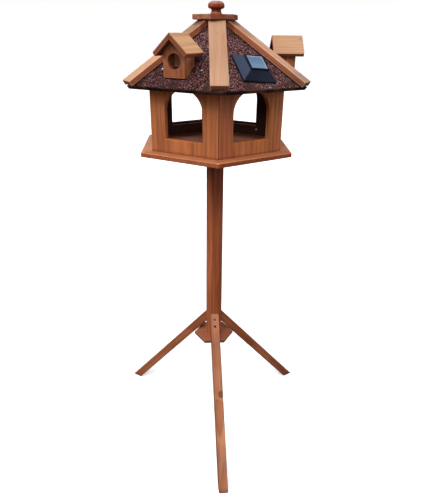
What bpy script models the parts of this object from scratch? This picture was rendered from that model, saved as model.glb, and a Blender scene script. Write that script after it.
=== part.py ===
"""Standing birdhouse: a six-sided house with arched windows on a post with three legs.

Metres, +Z up. The object stands on Z = 0 with the post's axis on the Z axis.
The front corner of the house points along -Y, and azimuths are counted from there towards +X.
"""
from math import atan, cos, pi, radians, sin, tan

import bmesh
import bpy
from mathutils import Matrix, Vector

# Clearance between pieces that touch
GAP = 0.0003

# Stand
FOOT_RADIUS = 0.3565
LEG_SLOPE = radians(50.5)
LEG_WIDTH = 0.028
LEG_DEPTH = 0.0265
POST_FLATS = 0.0425
POST_LENGTH = 0.615
HUB_RADIUS = 0.0628
HUB_THICK = 0.0065
STAND_TURN = radians(1.0)

# Each leg's turn away from its post face, as it hangs on its two screws in the photograph
LEG_SKEWS = {"front": radians(2.4), "right": radians(-0.2), "left": radians(-3.9)}

# House
FLOOR_RADIUS = 0.223
FLOOR_THICK = 0.012
WALL_RADIUS = 0.1912
WALL_THICK = 0.013
WALL_HEIGHT = 0.1875
WINDOW_WIDTH = 0.106
WINDOW_SILL = 0.036
WINDOW_SPRING = 0.103

# Main roof
ROOF_SLOPE = radians(36.4)
EAVE_RADIUS = 0.2408
PANEL_THICK = 0.006
FELT_THICK = 0.0022
BATTEN_WIDTH = 0.042
BATTEN_THICK = 0.0134
BATTEN_GROOVE = 0.0031
BATTEN_PAST_EAVE = 0.0100
FRONT_BATTEN_PAST_EAVE = 0.0055
CAP_SEAT = 0.0052
KING_LENGTH = 0.045
CAP_RADIUS = 0.0599
CAP_THICK = 0.012
CAP_TURN = radians(-13.5)
CAP_SHIFT = -0.0026
FINIAL_SHIFT = -0.0007
FINIAL_HEIGHT = 0.0302
FINIAL_KNOB = 0.041
FINIAL_NECK = 0.023
FINIAL_FOOT = 0.0286

# Small birdhouses on the roof
MINI_DEPTH = 0.045
MINI_WIDTH = 0.0575
MINI_HEIGHT = 0.0806
MINI_BOARD = 0.0078
MINI_HOLE = 0.0345
MINI_HOLE_UP = 0.0355
MINI_SLOPE = radians(42.3)
MINI_ROOF_THICK = 0.01
MINI_ROOF_SPAN = 0.0904
MINI_ROOF_LENGTH = 0.0775
MINI_OVERHANG = 0.0182

# Azimuth of each small house, how far its front stands in from the eave's corners, and its shift to the side
MINI_PLACES = {
    "left": (radians(-30), 0.0461, -0.0036),
    "right": (radians(90), 0.0405, 0.0),
    "back": (radians(-150), 0.0437, 0.0),
}

# Solar lamp on the right front panel of the roof
SOLAR_AZIMUTH = radians(30)
SOLAR_DOWN = 0.1965
SOLAR_SHIFT = 0.0003
SOLAR_TURN = radians(-7.7)
SOLAR_BASE = 0.0866
SOLAR_TOP = 0.0487
SOLAR_SKIRT = 0.0045
SOLAR_SHOULDER = 0.0188
SOLAR_HEIGHT = 0.0225
SOLAR_WALL = 0.002
SOLAR_RIM = 0.0038
CELL_THICK = 0.0015
HATCH_WIDTH = 0.04
HATCH_DEPTH = 0.016
HATCH_UP = 0.0225
BOARD_WIDTH = 0.044
BOARD_DEPTH = 0.019
BOARD_THICK = 0.0016
BOARD_LIFT = 0.003
BATTERY_DIAMETER = 0.0102
BATTERY_LENGTH = 0.03
BATTERY_DOWN = 0.0075
LENS_DIAMETER = 0.008
LENS_FLANGE = 0.0015
LENS_DROP = 0.006
LENS_SIDE = 0.01
SWITCH_TRAVEL = 0.003
SWITCH_KNOB = 0.003
SWITCH_FLANGE = 0.0022
SWITCH_DROP = 0.0018

# Eased edges of the sawn wood
EASE = 0.0012

SIDES = 6
HALF_SIDE = pi / SIDES
CORNER_TO_FLAT = cos(HALF_SIDE)
ROUND_STEPS = 40
ARCH_STEPS = 24

WOOD = (0.36, 0.14, 0.055)
WOOD_LIGHT = (0.55, 0.27, 0.13)
WOOD_DARK = (0.22, 0.075, 0.03)


def clear_scene():
    """Start from an empty file."""
    for existing in list(bpy.data.objects):
        bpy.data.objects.remove(existing, do_unlink=True)


def make_material(name, colour, roughness, metallic=0.0):
    """A plain Principled material with one colour."""
    material = bpy.data.materials.new(name)
    material.use_nodes = True
    shader = material.node_tree.nodes["Principled BSDF"]
    shader.inputs["Base Color"].default_value = (*colour, 1.0)
    shader.inputs["Roughness"].default_value = roughness
    shader.inputs["Metallic"].default_value = metallic
    material.diffuse_color = (*colour, 1.0)
    return material


def make_seat(name, parent=None):
    """An empty that pieces are placed on."""
    seat = bpy.data.objects.new(name, None)
    bpy.context.collection.objects.link(seat)
    seat.parent = parent
    return seat


def make_piece(name, shape, material, parent, turn=0.0, smooth=False):
    """Turn a bmesh into a named object, turned about its parent's Z axis."""
    bmesh.ops.recalc_face_normals(shape, faces=shape.faces)
    mesh = bpy.data.meshes.new(name)
    shape.to_mesh(mesh)
    shape.free()
    piece = bpy.data.objects.new(name, mesh)
    bpy.context.collection.objects.link(piece)
    piece.data.materials.append(material)
    piece.parent = parent
    piece.rotation_euler.z = turn
    if smooth:
        mesh.shade_smooth()
        mesh.set_sharp_from_angle(angle=radians(35))
    return piece


def cut_away(piece, name, shape):
    """Cut a closed shape, given in the piece's own coordinates, out of the piece."""
    bmesh.ops.recalc_face_normals(shape, faces=shape.faces)
    mesh = bpy.data.meshes.new(name)
    shape.to_mesh(mesh)
    shape.free()
    cutter = bpy.data.objects.new(name, mesh)
    bpy.context.collection.objects.link(cutter)
    cutter.parent = piece
    cutter.hide_render = True
    cutter.display_type = "WIRE"
    cut = piece.modifiers.new(name, "BOOLEAN")
    cut.operation = "DIFFERENCE"
    cut.solver = "EXACT"
    cut.object = cutter


def loft(rings):
    """A closed solid through rings with the same number of points, capped at both ends."""
    shape = bmesh.new()
    rows = [[shape.verts.new(point) for point in ring] for ring in rings]
    for lower, upper in zip(rows, rows[1:]):
        for index in range(len(lower)):
            following = (index + 1) % len(lower)
            shape.faces.new((lower[index], lower[following], upper[following], upper[index]))
    shape.faces.new(reversed(rows[0]))
    shape.faces.new(rows[-1])
    return shape


def block(low, high):
    """A rectangular block between two corners."""
    (x0, y0, z0), (x1, y1, z1) = low, high
    plan = [(x0, y0), (x1, y0), (x1, y1), (x0, y1)]
    return loft([[(x, y, z) for x, y in plan] for z in (z0, z1)])


def saw(shape, point, normal):
    """Saw a convex solid along a plane and keep the side that the normal points away from."""
    everything = shape.verts[:] + shape.edges[:] + shape.faces[:]
    cut = bmesh.ops.bisect_plane(
        shape, geom=everything, dist=1e-7, plane_co=point, plane_no=normal, clear_outer=True
    )
    rim = [item for item in cut["geom_cut"] if isinstance(item, bmesh.types.BMEdge)]
    if rim:
        bmesh.ops.contextual_create(shape, geom=rim)
    return shape


def hexagon(radius, first=0.0):
    """Corners of a regular hexagon, the first at an azimuth counted from -Y."""
    turns = [first + 2 * HALF_SIDE * index for index in range(SIDES)]
    return [(radius * sin(turn), -radius * cos(turn)) for turn in turns]


def hexagonal_board(radius, low, high, ease, first=0.0):
    """A hexagonal plate between two heights, with eased upper and lower edges."""
    levels = [(radius - ease, low), (radius, low + ease), (radius, high - ease), (radius - ease, high)]
    return loft([[(x, y, z) for x, y in hexagon(reach, first)] for reach, z in levels])


def mitred_board(profile):
    """One sixth of a ring: a profile of (radius, height) points, mitred on both corner planes."""
    allowance = GAP / 2 / CORNER_TO_FLAT
    ends = []
    for side in (-1, 1):
        ends.append([(side * (r * tan(HALF_SIDE) - allowance), -r, z) for r, z in profile])
    return loft(ends)


def turned(profile):
    """A turned solid: (radius, height) points from the foot to the top, closed on the axis."""
    rings = []
    for radius, z in profile:
        turns = [2 * pi * index / ROUND_STEPS for index in range(ROUND_STEPS)]
        rings.append([(radius * cos(turn), radius * sin(turn), z) for turn in turns])
    return loft(rings)


def eased_bar(width, low, high, start, end, ease):
    """A bar along -Y from start to end, its four long edges eased by 45 degree planes."""
    half = width / 2
    outline = [
        (-half + ease, low), (half - ease, low), (half, low + ease), (half, high - ease),
        (half - ease, high), (-half + ease, high), (-half, high - ease), (-half, low + ease),
    ]
    return loft([[(x, -y, z) for x, z in outline] for y in (start, end)])


def squares(levels):
    """A solid through squares centred on Z, given as (side, height) from the lowest to the highest."""
    rings = []
    for size, z in levels:
        half = size / 2
        rings.append([(-half, -half, z), (half, -half, z), (half, half, z), (-half, half, z)])
    return loft(rings)


# Heights and planes that follow from the driving dimensions

POST_FACE = POST_FLATS / 2
LEG_START = POST_FACE + GAP
LEG_TOP = (FOOT_RADIUS - LEG_START) * tan(LEG_SLOPE)
HUB_EDGE = HUB_RADIUS * CORNER_TO_FLAT

# The legs rest on the hub plate's edge, where a skewed leg reaches over it with one side first
HUB_REACH = max(HUB_EDGE * cos(skew) + LEG_WIDTH / 2 * sin(abs(skew)) for skew in LEG_SKEWS.values())
LEG_UNDER_HUB = LEG_TOP - LEG_DEPTH / cos(LEG_SLOPE) - (HUB_REACH - LEG_START) * tan(LEG_SLOPE)
HUB_TOP = LEG_UNDER_HUB - GAP / cos(LEG_SLOPE)
POST_BOTTOM = HUB_TOP + GAP
POST_TOP = POST_BOTTOM + POST_LENGTH
FLOOR_BOTTOM = POST_TOP + GAP
FLOOR_TOP = FLOOR_BOTTOM + FLOOR_THICK
WALL_FACE = WALL_RADIUS * CORNER_TO_FLAT
WALL_BOTTOM = FLOOR_TOP + GAP
WALL_TOP = WALL_BOTTOM + WALL_HEIGHT

# The underside of the roof panels, carried down from the apex at the roof's slope
UNDER_APEX = WALL_TOP + GAP / cos(ROOF_SLOPE) + WALL_FACE * tan(ROOF_SLOPE)
FELT_BOTTOM = PANEL_THICK + GAP
FELT_TOP = FELT_BOTTOM + FELT_THICK
FELT_APEX = UNDER_APEX + FELT_TOP / cos(ROOF_SLOPE)

# The hip line between two panels, and the fall of the felt to either side of it
HIP_SLOPE = atan(tan(ROOF_SLOPE) * CORNER_TO_FLAT)
HIP_FALL = atan(tan(ROOF_SLOPE) * sin(HALF_SIDE) * cos(HIP_SLOPE))
BATTEN_LIFT = GAP / cos(HIP_FALL)
BATTEN_TOP = BATTEN_LIFT + BATTEN_THICK - BATTEN_GROOVE
BATTEN_START = BATTEN_WIDTH / 2 / tan(HALF_SIDE) + 2 * GAP
CAP_BOTTOM = FELT_APEX + BATTEN_TOP / cos(HIP_SLOPE) - (BATTEN_START + CAP_SEAT) * tan(HIP_SLOPE) + GAP
CAP_TOP = CAP_BOTTOM + CAP_THICK
FINIAL_BOTTOM = CAP_TOP + GAP

# The panels end at the king block, or lower down where the felt passes under the cap
PANEL_START = max(POST_FACE + GAP, (FELT_APEX - CAP_BOTTOM + GAP) / tan(ROOF_SLOPE))

# Solar lamp, in heights above the felt
SOLAR_FLOOR = GAP
SOLAR_INSIDE = SOLAR_FLOOR + SOLAR_WALL
SOLAR_PLATEAU = SOLAR_FLOOR + SOLAR_HEIGHT
CELL_SEAT = SOLAR_PLATEAU - CELL_THICK - 2 * GAP
SOLAR_LEAN = (SOLAR_BASE - SOLAR_TOP) / 2 / (SOLAR_SHOULDER - SOLAR_SKIRT)
SOLAR_SIDE_WALL = SOLAR_WALL / cos(atan(SOLAR_LEAN))
SOLAR_MOUTH = SOLAR_BASE - 2 * SOLAR_WALL


def on_roof(down, up):
    """Radius and height of a point at a distance down the panel and above its underside."""
    radius = down * cos(ROOF_SLOPE) + up * sin(ROOF_SLOPE)
    return radius, UNDER_APEX - down * sin(ROOF_SLOPE) + up * cos(ROOF_SLOPE)


def sawn_to_roof(shape):
    """Scribe a solid to the felt, for pieces whose azimuth is the panel's own."""
    apex = Vector((0, 0, FELT_APEX + GAP / cos(ROOF_SLOPE)))
    return saw(shape, apex, Vector((0, sin(ROOF_SLOPE), -cos(ROOF_SLOPE))))


def build_stand(stand, wood, light_wood, dark_wood):
    """Post, hub plate and three legs."""
    corner = POST_FLATS / 2 / CORNER_TO_FLAT
    make_piece("post", hexagonal_board(corner, POST_BOTTOM, POST_TOP, EASE / 2, HALF_SIDE), wood, stand)
    plan = hexagon(HUB_RADIUS, HALF_SIDE)
    hub = loft([[(x, y, z) for x, y in plan] for z in (HUB_TOP - HUB_THICK, HUB_TOP)])
    make_piece("hub_plate", hub, dark_wood, stand)
    for index, (name, skew) in enumerate(LEG_SKEWS.items()):
        face = 2 * pi / len(LEG_SKEWS) * index
        make_piece("leg_" + name, leg_shape(skew), light_wood, stand, face)


def leg_shape(skew):
    """A square bar turned by its skew, sawn upright along the post's face and level at the foot."""
    reach = 1.5 * FOOT_RADIUS / cos(LEG_SLOPE)
    shape = eased_bar(LEG_WIDTH, -LEG_DEPTH, 0.0, -LEG_DEPTH * 2, reach, EASE * 1.5)
    lean = Matrix.Translation((0, -LEG_START, LEG_TOP)) @ Matrix.Rotation(LEG_SLOPE, 4, "X")
    shape.transform(Matrix.Rotation(skew, 4, "Z") @ lean)
    saw(shape, Vector((0, -LEG_START, 0)), Vector((0, 1, 0)))
    return saw(shape, Vector((0, 0, 0)), Vector((0, 0, -1)))


def build_house(house, wood, floor_wood):
    """Floor board and six mitred walls with arched windows."""
    floor = hexagonal_board(FLOOR_RADIUS, FLOOR_BOTTOM, FLOOR_TOP, EASE)
    make_piece("floor_board", floor, floor_wood, house)
    inner = WALL_FACE - WALL_THICK
    inner_top = WALL_TOP + WALL_THICK * tan(ROOF_SLOPE)
    profile = [(WALL_FACE, WALL_BOTTOM), (WALL_FACE, WALL_TOP), (inner, inner_top), (inner, WALL_BOTTOM)]
    for index in range(SIDES):
        azimuth = HALF_SIDE * (2 * index + 1)
        wall = make_piece("wall_%d" % (index + 1), mitred_board(profile), wood, house, azimuth)
        cut_away(wall, "window_%d" % (index + 1), window_shape())


def window_shape():
    """Outline of the arched window, carried through the wall."""
    half = WINDOW_WIDTH / 2
    outline = [(-half, FLOOR_TOP + WINDOW_SILL), (half, FLOOR_TOP + WINDOW_SILL)]
    for step in range(ARCH_STEPS + 1):
        turn = pi * step / ARCH_STEPS
        outline.append((half * cos(turn), FLOOR_TOP + WINDOW_SPRING + half * sin(turn)))
    faces = (WALL_FACE + WALL_THICK, WALL_FACE - 2 * WALL_THICK)
    return loft([[(x, -y, z) for x, z in outline] for y in faces])


def build_roof(house, panel_wood, felt, batten_wood, cap_wood):
    """Panels, felt, hip battens, king block, cap plate and finial."""
    edge = EAVE_RADIUS * CORNER_TO_FLAT / cos(ROOF_SLOPE)
    start = PANEL_START / cos(ROOF_SLOPE)
    over = edge + GAP + FELT_THICK
    for index in range(SIDES):
        azimuth = HALF_SIDE * (2 * index + 1)
        panel = [on_roof(edge, 0), on_roof(edge, PANEL_THICK)]
        panel += [upright(start, PANEL_THICK), upright(start, 0)]
        piece = make_piece("roof_panel_%d" % (index + 1), mitred_board(panel), panel_wood, house, azimuth)
        sheet = [upright(start, FELT_TOP), upright(start, FELT_BOTTOM), on_roof(edge + GAP, FELT_BOTTOM)]
        sheet += [on_roof(edge + GAP, 0), on_roof(over, 0), on_roof(over, FELT_TOP)]
        cover = make_piece("roof_felt_%d" % (index + 1), mitred_board(sheet), felt, house, azimuth)
        if abs(azimuth - SOLAR_AZIMUTH) < HALF_SIDE:
            cut_away(piece, "hatch_panel", hatch_shape())
            cut_away(cover, "hatch_felt", hatch_shape())
    for index in range(SIDES):
        past_eave = BATTEN_PAST_EAVE if index else FRONT_BATTEN_PAST_EAVE
        batten = batten_shape(past_eave)
        make_piece("hip_batten_%d" % (index + 1), batten, batten_wood, house, 2 * HALF_SIDE * index)
    king_corner = POST_FACE / CORNER_TO_FLAT
    king_top = CAP_BOTTOM - GAP
    king = hexagonal_board(king_corner, king_top - KING_LENGTH, king_top, EASE / 2)
    make_piece("king_block", king, panel_wood, house)
    cap = hexagonal_board(CAP_RADIUS, CAP_BOTTOM, CAP_TOP, EASE)
    cap = make_piece("cap_plate", cap, cap_wood, house, CAP_TURN)
    cap.location.x = CAP_SHIFT
    finial = make_piece("finial", turned(finial_profile()), cap_wood, house, smooth=True)
    finial.location.x = FINIAL_SHIFT


def upright(down, up):
    """A point above the panel's underside, straight over its point at that distance down."""
    radius = down * cos(ROOF_SLOPE)
    return radius, UNDER_APEX - down * sin(ROOF_SLOPE) + up / cos(ROOF_SLOPE)


def batten_shape(past_eave):
    """A bar with a ploughed underside that rides on a hip, sawn off upright and under the cap."""
    half = BATTEN_WIDTH / 2
    low = BATTEN_LIFT - BATTEN_GROOVE
    outline = [(-half, low), (0, BATTEN_LIFT), (half, low), (half, BATTEN_TOP - EASE)]
    outline += [(half - EASE, BATTEN_TOP), (-half + EASE, BATTEN_TOP), (-half, BATTEN_TOP - EASE)]
    tip = (EAVE_RADIUS + past_eave - BATTEN_TOP * sin(HIP_SLOPE)) / cos(HIP_SLOPE)
    shape = loft([[(x, -y, z) for x, z in outline] for y in (0.0, tip)])
    shape.transform(Matrix.Translation((0, 0, FELT_APEX)) @ Matrix.Rotation(HIP_SLOPE, 4, "X"))
    saw(shape, Vector((0, 0, CAP_BOTTOM - GAP)), Vector((0, 0, 1)))
    return saw(shape, Vector((0, -BATTEN_START, 0)), Vector((0, 1, 0)))


def finial_profile():
    """Flared foot, hollow neck and thick rounded knob of the turned finial."""
    foot = FINIAL_FOOT / 2
    neck = FINIAL_NECK / 2
    knob = FINIAL_KNOB / 2
    neck_up = 0.29 * FINIAL_HEIGHT
    under_up = 0.42 * FINIAL_HEIGHT
    knob_up = 0.62 * FINIAL_HEIGHT
    under = 0.8 * knob
    points = [(foot - EASE / 2, 0.0)]
    for step in range(6):
        share = step / 5
        points.append((neck + (foot - neck) * (1 - share) ** 1.4, EASE / 2 + (neck_up - EASE / 2) * share))
    for step in range(1, 5):
        turn = pi / 2 * step / 4
        points.append((neck + (under - neck) * (1 - cos(turn)), neck_up + (under_up - neck_up) * sin(turn)))
    for step in range(1, 4):
        turn = pi / 2 * step / 3
        points.append((under + (knob - under) * sin(turn), under_up + (knob_up - under_up) * (1 - cos(turn))))
    for step in range(1, 9):
        turn = pi / 2 * step / 9
        bulge = 0.8
        points.append((knob * cos(turn) ** bulge, knob_up + (FINIAL_HEIGHT - knob_up) * sin(turn) ** bulge))
    points.append((0.1 * knob, FINIAL_HEIGHT))
    return [(radius, FINIAL_BOTTOM + z) for radius, z in points]


def build_mini(name, place, house, wood, light_wood):
    """A small gabled birdhouse scribed to the roof panel at its azimuth."""
    azimuth, setback, shift = place
    outer = EAVE_RADIUS - setback
    inner = outer - MINI_BOARD
    rear = outer - MINI_DEPTH
    rear_inner = rear + MINI_BOARD
    bottom = FELT_APEX - inner * tan(ROOF_SLOPE) + GAP / cos(ROOF_SLOPE)
    apex = bottom + MINI_HEIGHT
    half = MINI_WIDTH / 2
    shoulder = apex - half * tan(MINI_SLOPE)
    gable = [(-half, bottom), (half, bottom), (half, shoulder), (0, apex), (-half, shoulder)]
    seat = make_seat("mini_%s_seat" % name, house)
    seat.rotation_euler.z = azimuth
    seat.location = (shift * cos(azimuth), shift * sin(azimuth), 0)
    prefix = "mini_" + name + "_"

    front = loft([[(x, -y, z) for x, z in gable] for y in (outer, inner)])
    front = make_piece(prefix + "front", front, wood, seat)
    hole = turned([(MINI_HOLE / 2, -MINI_BOARD), (MINI_HOLE / 2, 2 * MINI_BOARD)])
    hole.transform(Matrix.Translation((0, -inner, bottom + MINI_HOLE_UP)) @ Matrix.Rotation(pi / 2, 4, "X"))
    cut_away(front, prefix + "hole", hole)

    back = loft([[(x, -y, z) for x, z in gable] for y in (rear_inner, rear)])
    make_piece(prefix + "back", sawn_to_roof(back), wood, seat)

    for side, label in ((-1, "left"), (1, "right")):
        low = (side * (half - MINI_BOARD), -(inner - GAP), bottom - MINI_BOARD)
        high = (side * half, -(rear_inner + GAP), apex)
        cheek = sawn_to_roof(block(low, high))
        saw(cheek, Vector((0, 0, apex)), Vector((side * sin(MINI_SLOPE), 0, cos(MINI_SLOPE))))
        make_piece(prefix + "cheek_" + label, cheek, wood, seat)
        board = mini_roof_shape(side, apex + GAP / cos(MINI_SLOPE), outer + MINI_OVERHANG)
        make_piece(prefix + "roof_" + label, board, light_wood, seat)


def mini_roof_shape(side, ridge, tip):
    """One board of a small gable roof, mitred at the ridge and square at the eave."""
    eave = (MINI_ROOF_SPAN / 2 - MINI_ROOF_THICK * sin(MINI_SLOPE)) / cos(MINI_SLOPE)
    section = []
    for along, up in ((eave, 0), (eave, MINI_ROOF_THICK - EASE), (eave - EASE, MINI_ROOF_THICK)):
        x = along * cos(MINI_SLOPE) + up * sin(MINI_SLOPE)
        section.append((side * x, ridge - along * sin(MINI_SLOPE) + up * cos(MINI_SLOPE)))
    joint = GAP / 2
    drop = joint * tan(MINI_SLOPE)
    section.append((side * joint, ridge + MINI_ROOF_THICK / cos(MINI_SLOPE) - drop))
    section.append((side * joint, ridge - drop))
    return loft([[(x, -y, z) for x, z in section] for y in (tip, tip - MINI_ROOF_LENGTH)])


def solar_matrix():
    """Seat of the solar lamp on the felt: -Y runs down the roof and Z stands on it."""
    turn = Matrix.Rotation(SOLAR_AZIMUTH, 4, "Z") @ Matrix.Rotation(ROOF_SLOPE, 4, "X")
    radius, height = on_roof(SOLAR_DOWN, FELT_TOP)
    place = Matrix.Rotation(SOLAR_AZIMUTH, 4, "Z") @ Matrix.Translation((SOLAR_SHIFT, -radius, height))
    spin = Matrix.Rotation(SOLAR_TURN, 4, "Z")
    return Matrix.Translation(place.translation) @ turn @ spin


def hatch_shape():
    """The cut-out under the lamp, in the panel's own coordinates."""
    half = HATCH_WIDTH / 2
    low = (-half, HATCH_UP - HATCH_DEPTH / 2, -3 * FELT_TOP)
    high = (half, HATCH_UP + HATCH_DEPTH / 2, FELT_TOP)
    shape = block(low, high)
    shape.transform(Matrix.Rotation(-SOLAR_AZIMUTH, 4, "Z") @ solar_matrix())
    return shape


def build_solar(house, plastic, cell, board, metal, lens_plastic):
    """Solar lamp: housing with its cell, base plate with board, battery, lens and switch."""
    seat = make_seat("solar_seat", house)
    seat.matrix_world = solar_matrix()

    skirt_top = SOLAR_FLOOR + SOLAR_SKIRT
    shoulder = SOLAR_FLOOR + SOLAR_SHOULDER
    outside = [(SOLAR_BASE, SOLAR_FLOOR), (SOLAR_BASE, skirt_top), (SOLAR_TOP, shoulder), (SOLAR_TOP, SOLAR_PLATEAU)]
    housing = make_piece("solar_housing", squares(outside), plastic, seat)
    skirt_inside = skirt_top - (SOLAR_SIDE_WALL - SOLAR_WALL) / SOLAR_LEAN
    ceiling = CELL_SEAT - SOLAR_WALL
    ceiling_size = SOLAR_MOUTH - 2 * SOLAR_LEAN * (ceiling - skirt_inside)
    hollow = [(SOLAR_MOUTH, SOLAR_FLOOR - SOLAR_WALL), (SOLAR_MOUTH, skirt_inside), (ceiling_size, ceiling)]
    cut_away(housing, "solar_hollow", squares(hollow))
    pocket = SOLAR_TOP - 2 * SOLAR_RIM
    cut_away(housing, "solar_pocket", squares([(pocket, CELL_SEAT), (pocket, SOLAR_PLATEAU + SOLAR_WALL)]))

    cell_size = pocket - 2 * GAP
    low = CELL_SEAT + GAP
    make_piece("solar_cell", squares([(cell_size, low), (cell_size, low + CELL_THICK)]), cell, seat)

    lens_place = Vector((-LENS_SIDE, HATCH_UP, 0))
    switch_place = Vector((LENS_SIDE, HATCH_UP, 0))
    build_base_plate(seat, plastic, lens_place, switch_place)

    board_low = SOLAR_INSIDE + BOARD_LIFT + GAP
    low = (-BOARD_WIDTH / 2, HATCH_UP - BOARD_DEPTH / 2 - BOARD_LIFT, board_low)
    high = (BOARD_WIDTH / 2, HATCH_UP + BOARD_DEPTH / 2 - BOARD_LIFT, board_low + BOARD_THICK)
    make_piece("solar_board", block(low, high), board, seat)

    radius = BATTERY_DIAMETER / 2
    half = BATTERY_LENGTH / 2
    nub = radius / 3
    battery = turned([(radius, -half), (radius, half - nub), (nub, half - nub), (nub, half)])
    battery.transform(
        Matrix.Translation((0, -BATTERY_DOWN, SOLAR_INSIDE + GAP + radius)) @ Matrix.Rotation(pi / 2, 4, "Y")
    )
    make_piece("solar_battery", battery, metal, seat, smooth=True)

    lens = make_piece("lamp_lens", turned(lens_profile()), lens_plastic, seat, smooth=True)
    lens.location = lens_place
    switch = make_piece("lamp_switch", switch_shape(), plastic, seat)
    switch.location = switch_place


def build_base_plate(seat, plastic, lens_place, switch_place):
    """Floor of the lamp with two rails for the board and the holes for lens and switch."""
    size = SOLAR_MOUTH - 2 * GAP
    plate = make_piece("solar_base", squares([(size, SOLAR_FLOOR), (size, SOLAR_INSIDE)]), plastic, seat)
    rails = bmesh.new()
    for side in (-1, 1):
        outer = side * BOARD_WIDTH / 2
        inner = side * (BOARD_WIDTH / 2 - SOLAR_WALL)
        start = HATCH_UP - BOARD_DEPTH / 2 - BOARD_LIFT
        rail = block(
            (min(outer, inner), start, SOLAR_INSIDE - SOLAR_WALL / 2),
            (max(outer, inner), start + BOARD_DEPTH, SOLAR_INSIDE + BOARD_LIFT),
        )
        scratch = bpy.data.meshes.new("rail")
        rail.to_mesh(scratch)
        rail.free()
        rails.from_mesh(scratch)
        bpy.data.meshes.remove(scratch)
    join_on(plate, "board_rails", rails)
    hole = turned([(LENS_DIAMETER / 2 + GAP, -SOLAR_WALL), (LENS_DIAMETER / 2 + GAP, 2 * SOLAR_WALL)])
    hole.transform(Matrix.Translation(lens_place))
    cut_away(plate, "lens_hole", hole)
    half_x = SWITCH_KNOB / 2 + SWITCH_TRAVEL / 2 + GAP
    half_y = SWITCH_KNOB / 2 + GAP
    slot = block((-half_x, -half_y, -SOLAR_WALL), (half_x, half_y, 2 * SOLAR_WALL))
    slot.transform(Matrix.Translation(switch_place))
    cut_away(plate, "switch_slot", slot)


def join_on(piece, name, shape):
    """Grow a closed shape onto a piece, as moulded in one."""
    bmesh.ops.recalc_face_normals(shape, faces=shape.faces)
    mesh = bpy.data.meshes.new(name)
    shape.to_mesh(mesh)
    shape.free()
    grown = bpy.data.objects.new(name, mesh)
    bpy.context.collection.objects.link(grown)
    grown.parent = piece
    grown.hide_render = True
    grown.display_type = "WIRE"
    union = piece.modifiers.new(name, "BOOLEAN")
    union.operation = "UNION"
    union.solver = "EXACT"
    union.object = grown


def lens_profile():
    """Domed lens with a flange that rests on the base plate."""
    radius = LENS_DIAMETER / 2
    points = []
    for step in range(7):
        turn = pi / 2 * step / 6
        points.append((max(radius * sin(turn), radius / 12), -LENS_DROP + radius * (1 - cos(turn))))
    seat = SOLAR_INSIDE + GAP
    points += [(radius, seat), (radius + LENS_FLANGE, seat), (radius + LENS_FLANGE, seat + LENS_FLANGE)]
    return points


def switch_shape():
    """Slider with its knob in the slot and its flange inside, drawn at the off end."""
    half = SWITCH_KNOB / 2
    wide_x = half + SWITCH_TRAVEL / 2 + SWITCH_FLANGE
    wide_y = half + SWITCH_FLANGE
    seat = SOLAR_INSIDE + GAP
    top = SOLAR_INSIDE + BOARD_LIFT
    rings = []
    for half_x, half_y, z in (
        (half, half, -SWITCH_DROP), (half, half, seat), (wide_x, wide_y, seat), (wide_x, wide_y, top),
    ):
        rings.append([(-half_x, -half_y, z), (half_x, -half_y, z), (half_x, half_y, z), (-half_x, half_y, z)])
    shape = loft(rings)
    shape.transform(Matrix.Translation((-SWITCH_TRAVEL / 2, 0, 0)))
    return shape


def main():
    """Build the whole birdhouse."""
    clear_scene()
    wall_wood = make_material("wall_wood", WOOD, 0.6)
    floor_wood = make_material("floor_wood", WOOD_LIGHT, 0.6)
    stand_wood = make_material("stand_wood", WOOD_DARK, 0.55)
    leg_wood = make_material("leg_wood", WOOD, 0.55)
    batten_wood = make_material("batten_wood", WOOD_LIGHT, 0.6)
    cap_wood = make_material("cap_wood", (0.25, 0.08, 0.04), 0.5)
    inner_wood = make_material("inner_wood", (0.3, 0.2, 0.12), 0.8)
    mini_wood = make_material("mini_wood", (0.3, 0.12, 0.06), 0.6)
    felt = make_material("felt", (0.1, 0.045, 0.045), 0.95)
    plastic = make_material("black_plastic", (0.02, 0.02, 0.025), 0.35)
    cell = make_material("solar_cell", (0.1, 0.18, 0.28), 0.15)
    board = make_material("board", (0.02, 0.14, 0.05), 0.5)
    metal = make_material("battery_case", (0.45, 0.45, 0.45), 0.35, 0.9)
    lens_plastic = make_material("lens_plastic", (0.85, 0.85, 0.8), 0.25)

    stand = make_seat("stand_seat")
    stand.rotation_euler.z = STAND_TURN
    house = make_seat("house_seat")
    build_stand(stand, stand_wood, leg_wood, stand_wood)
    build_house(house, wall_wood, floor_wood)
    build_roof(house, inner_wood, felt, batten_wood, cap_wood)
    for name, place in MINI_PLACES.items():
        build_mini(name, place, house, mini_wood, batten_wood)
    build_solar(house, plastic, cell, board, metal, lens_plastic)
    bpy.context.view_layer.update()


main()
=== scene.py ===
# %% [markdown]
# # A birdhouse on a post
# This lesson dresses a garden birdhouse: a six-sided house with arched windows, a felted roof with
# small gabled houses and a solar lamp on it, and a post on three splayed legs. The solids come from
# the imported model. Each step below says what a piece or a finish is on the real thing, how it could
# be made, and why this way was chosen.

# %% Load the frame
from math import atan, cos, pi, radians, sin, tan

import bmesh
import bpy
import numpy as np
from mathutils import Matrix, Vector


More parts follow.
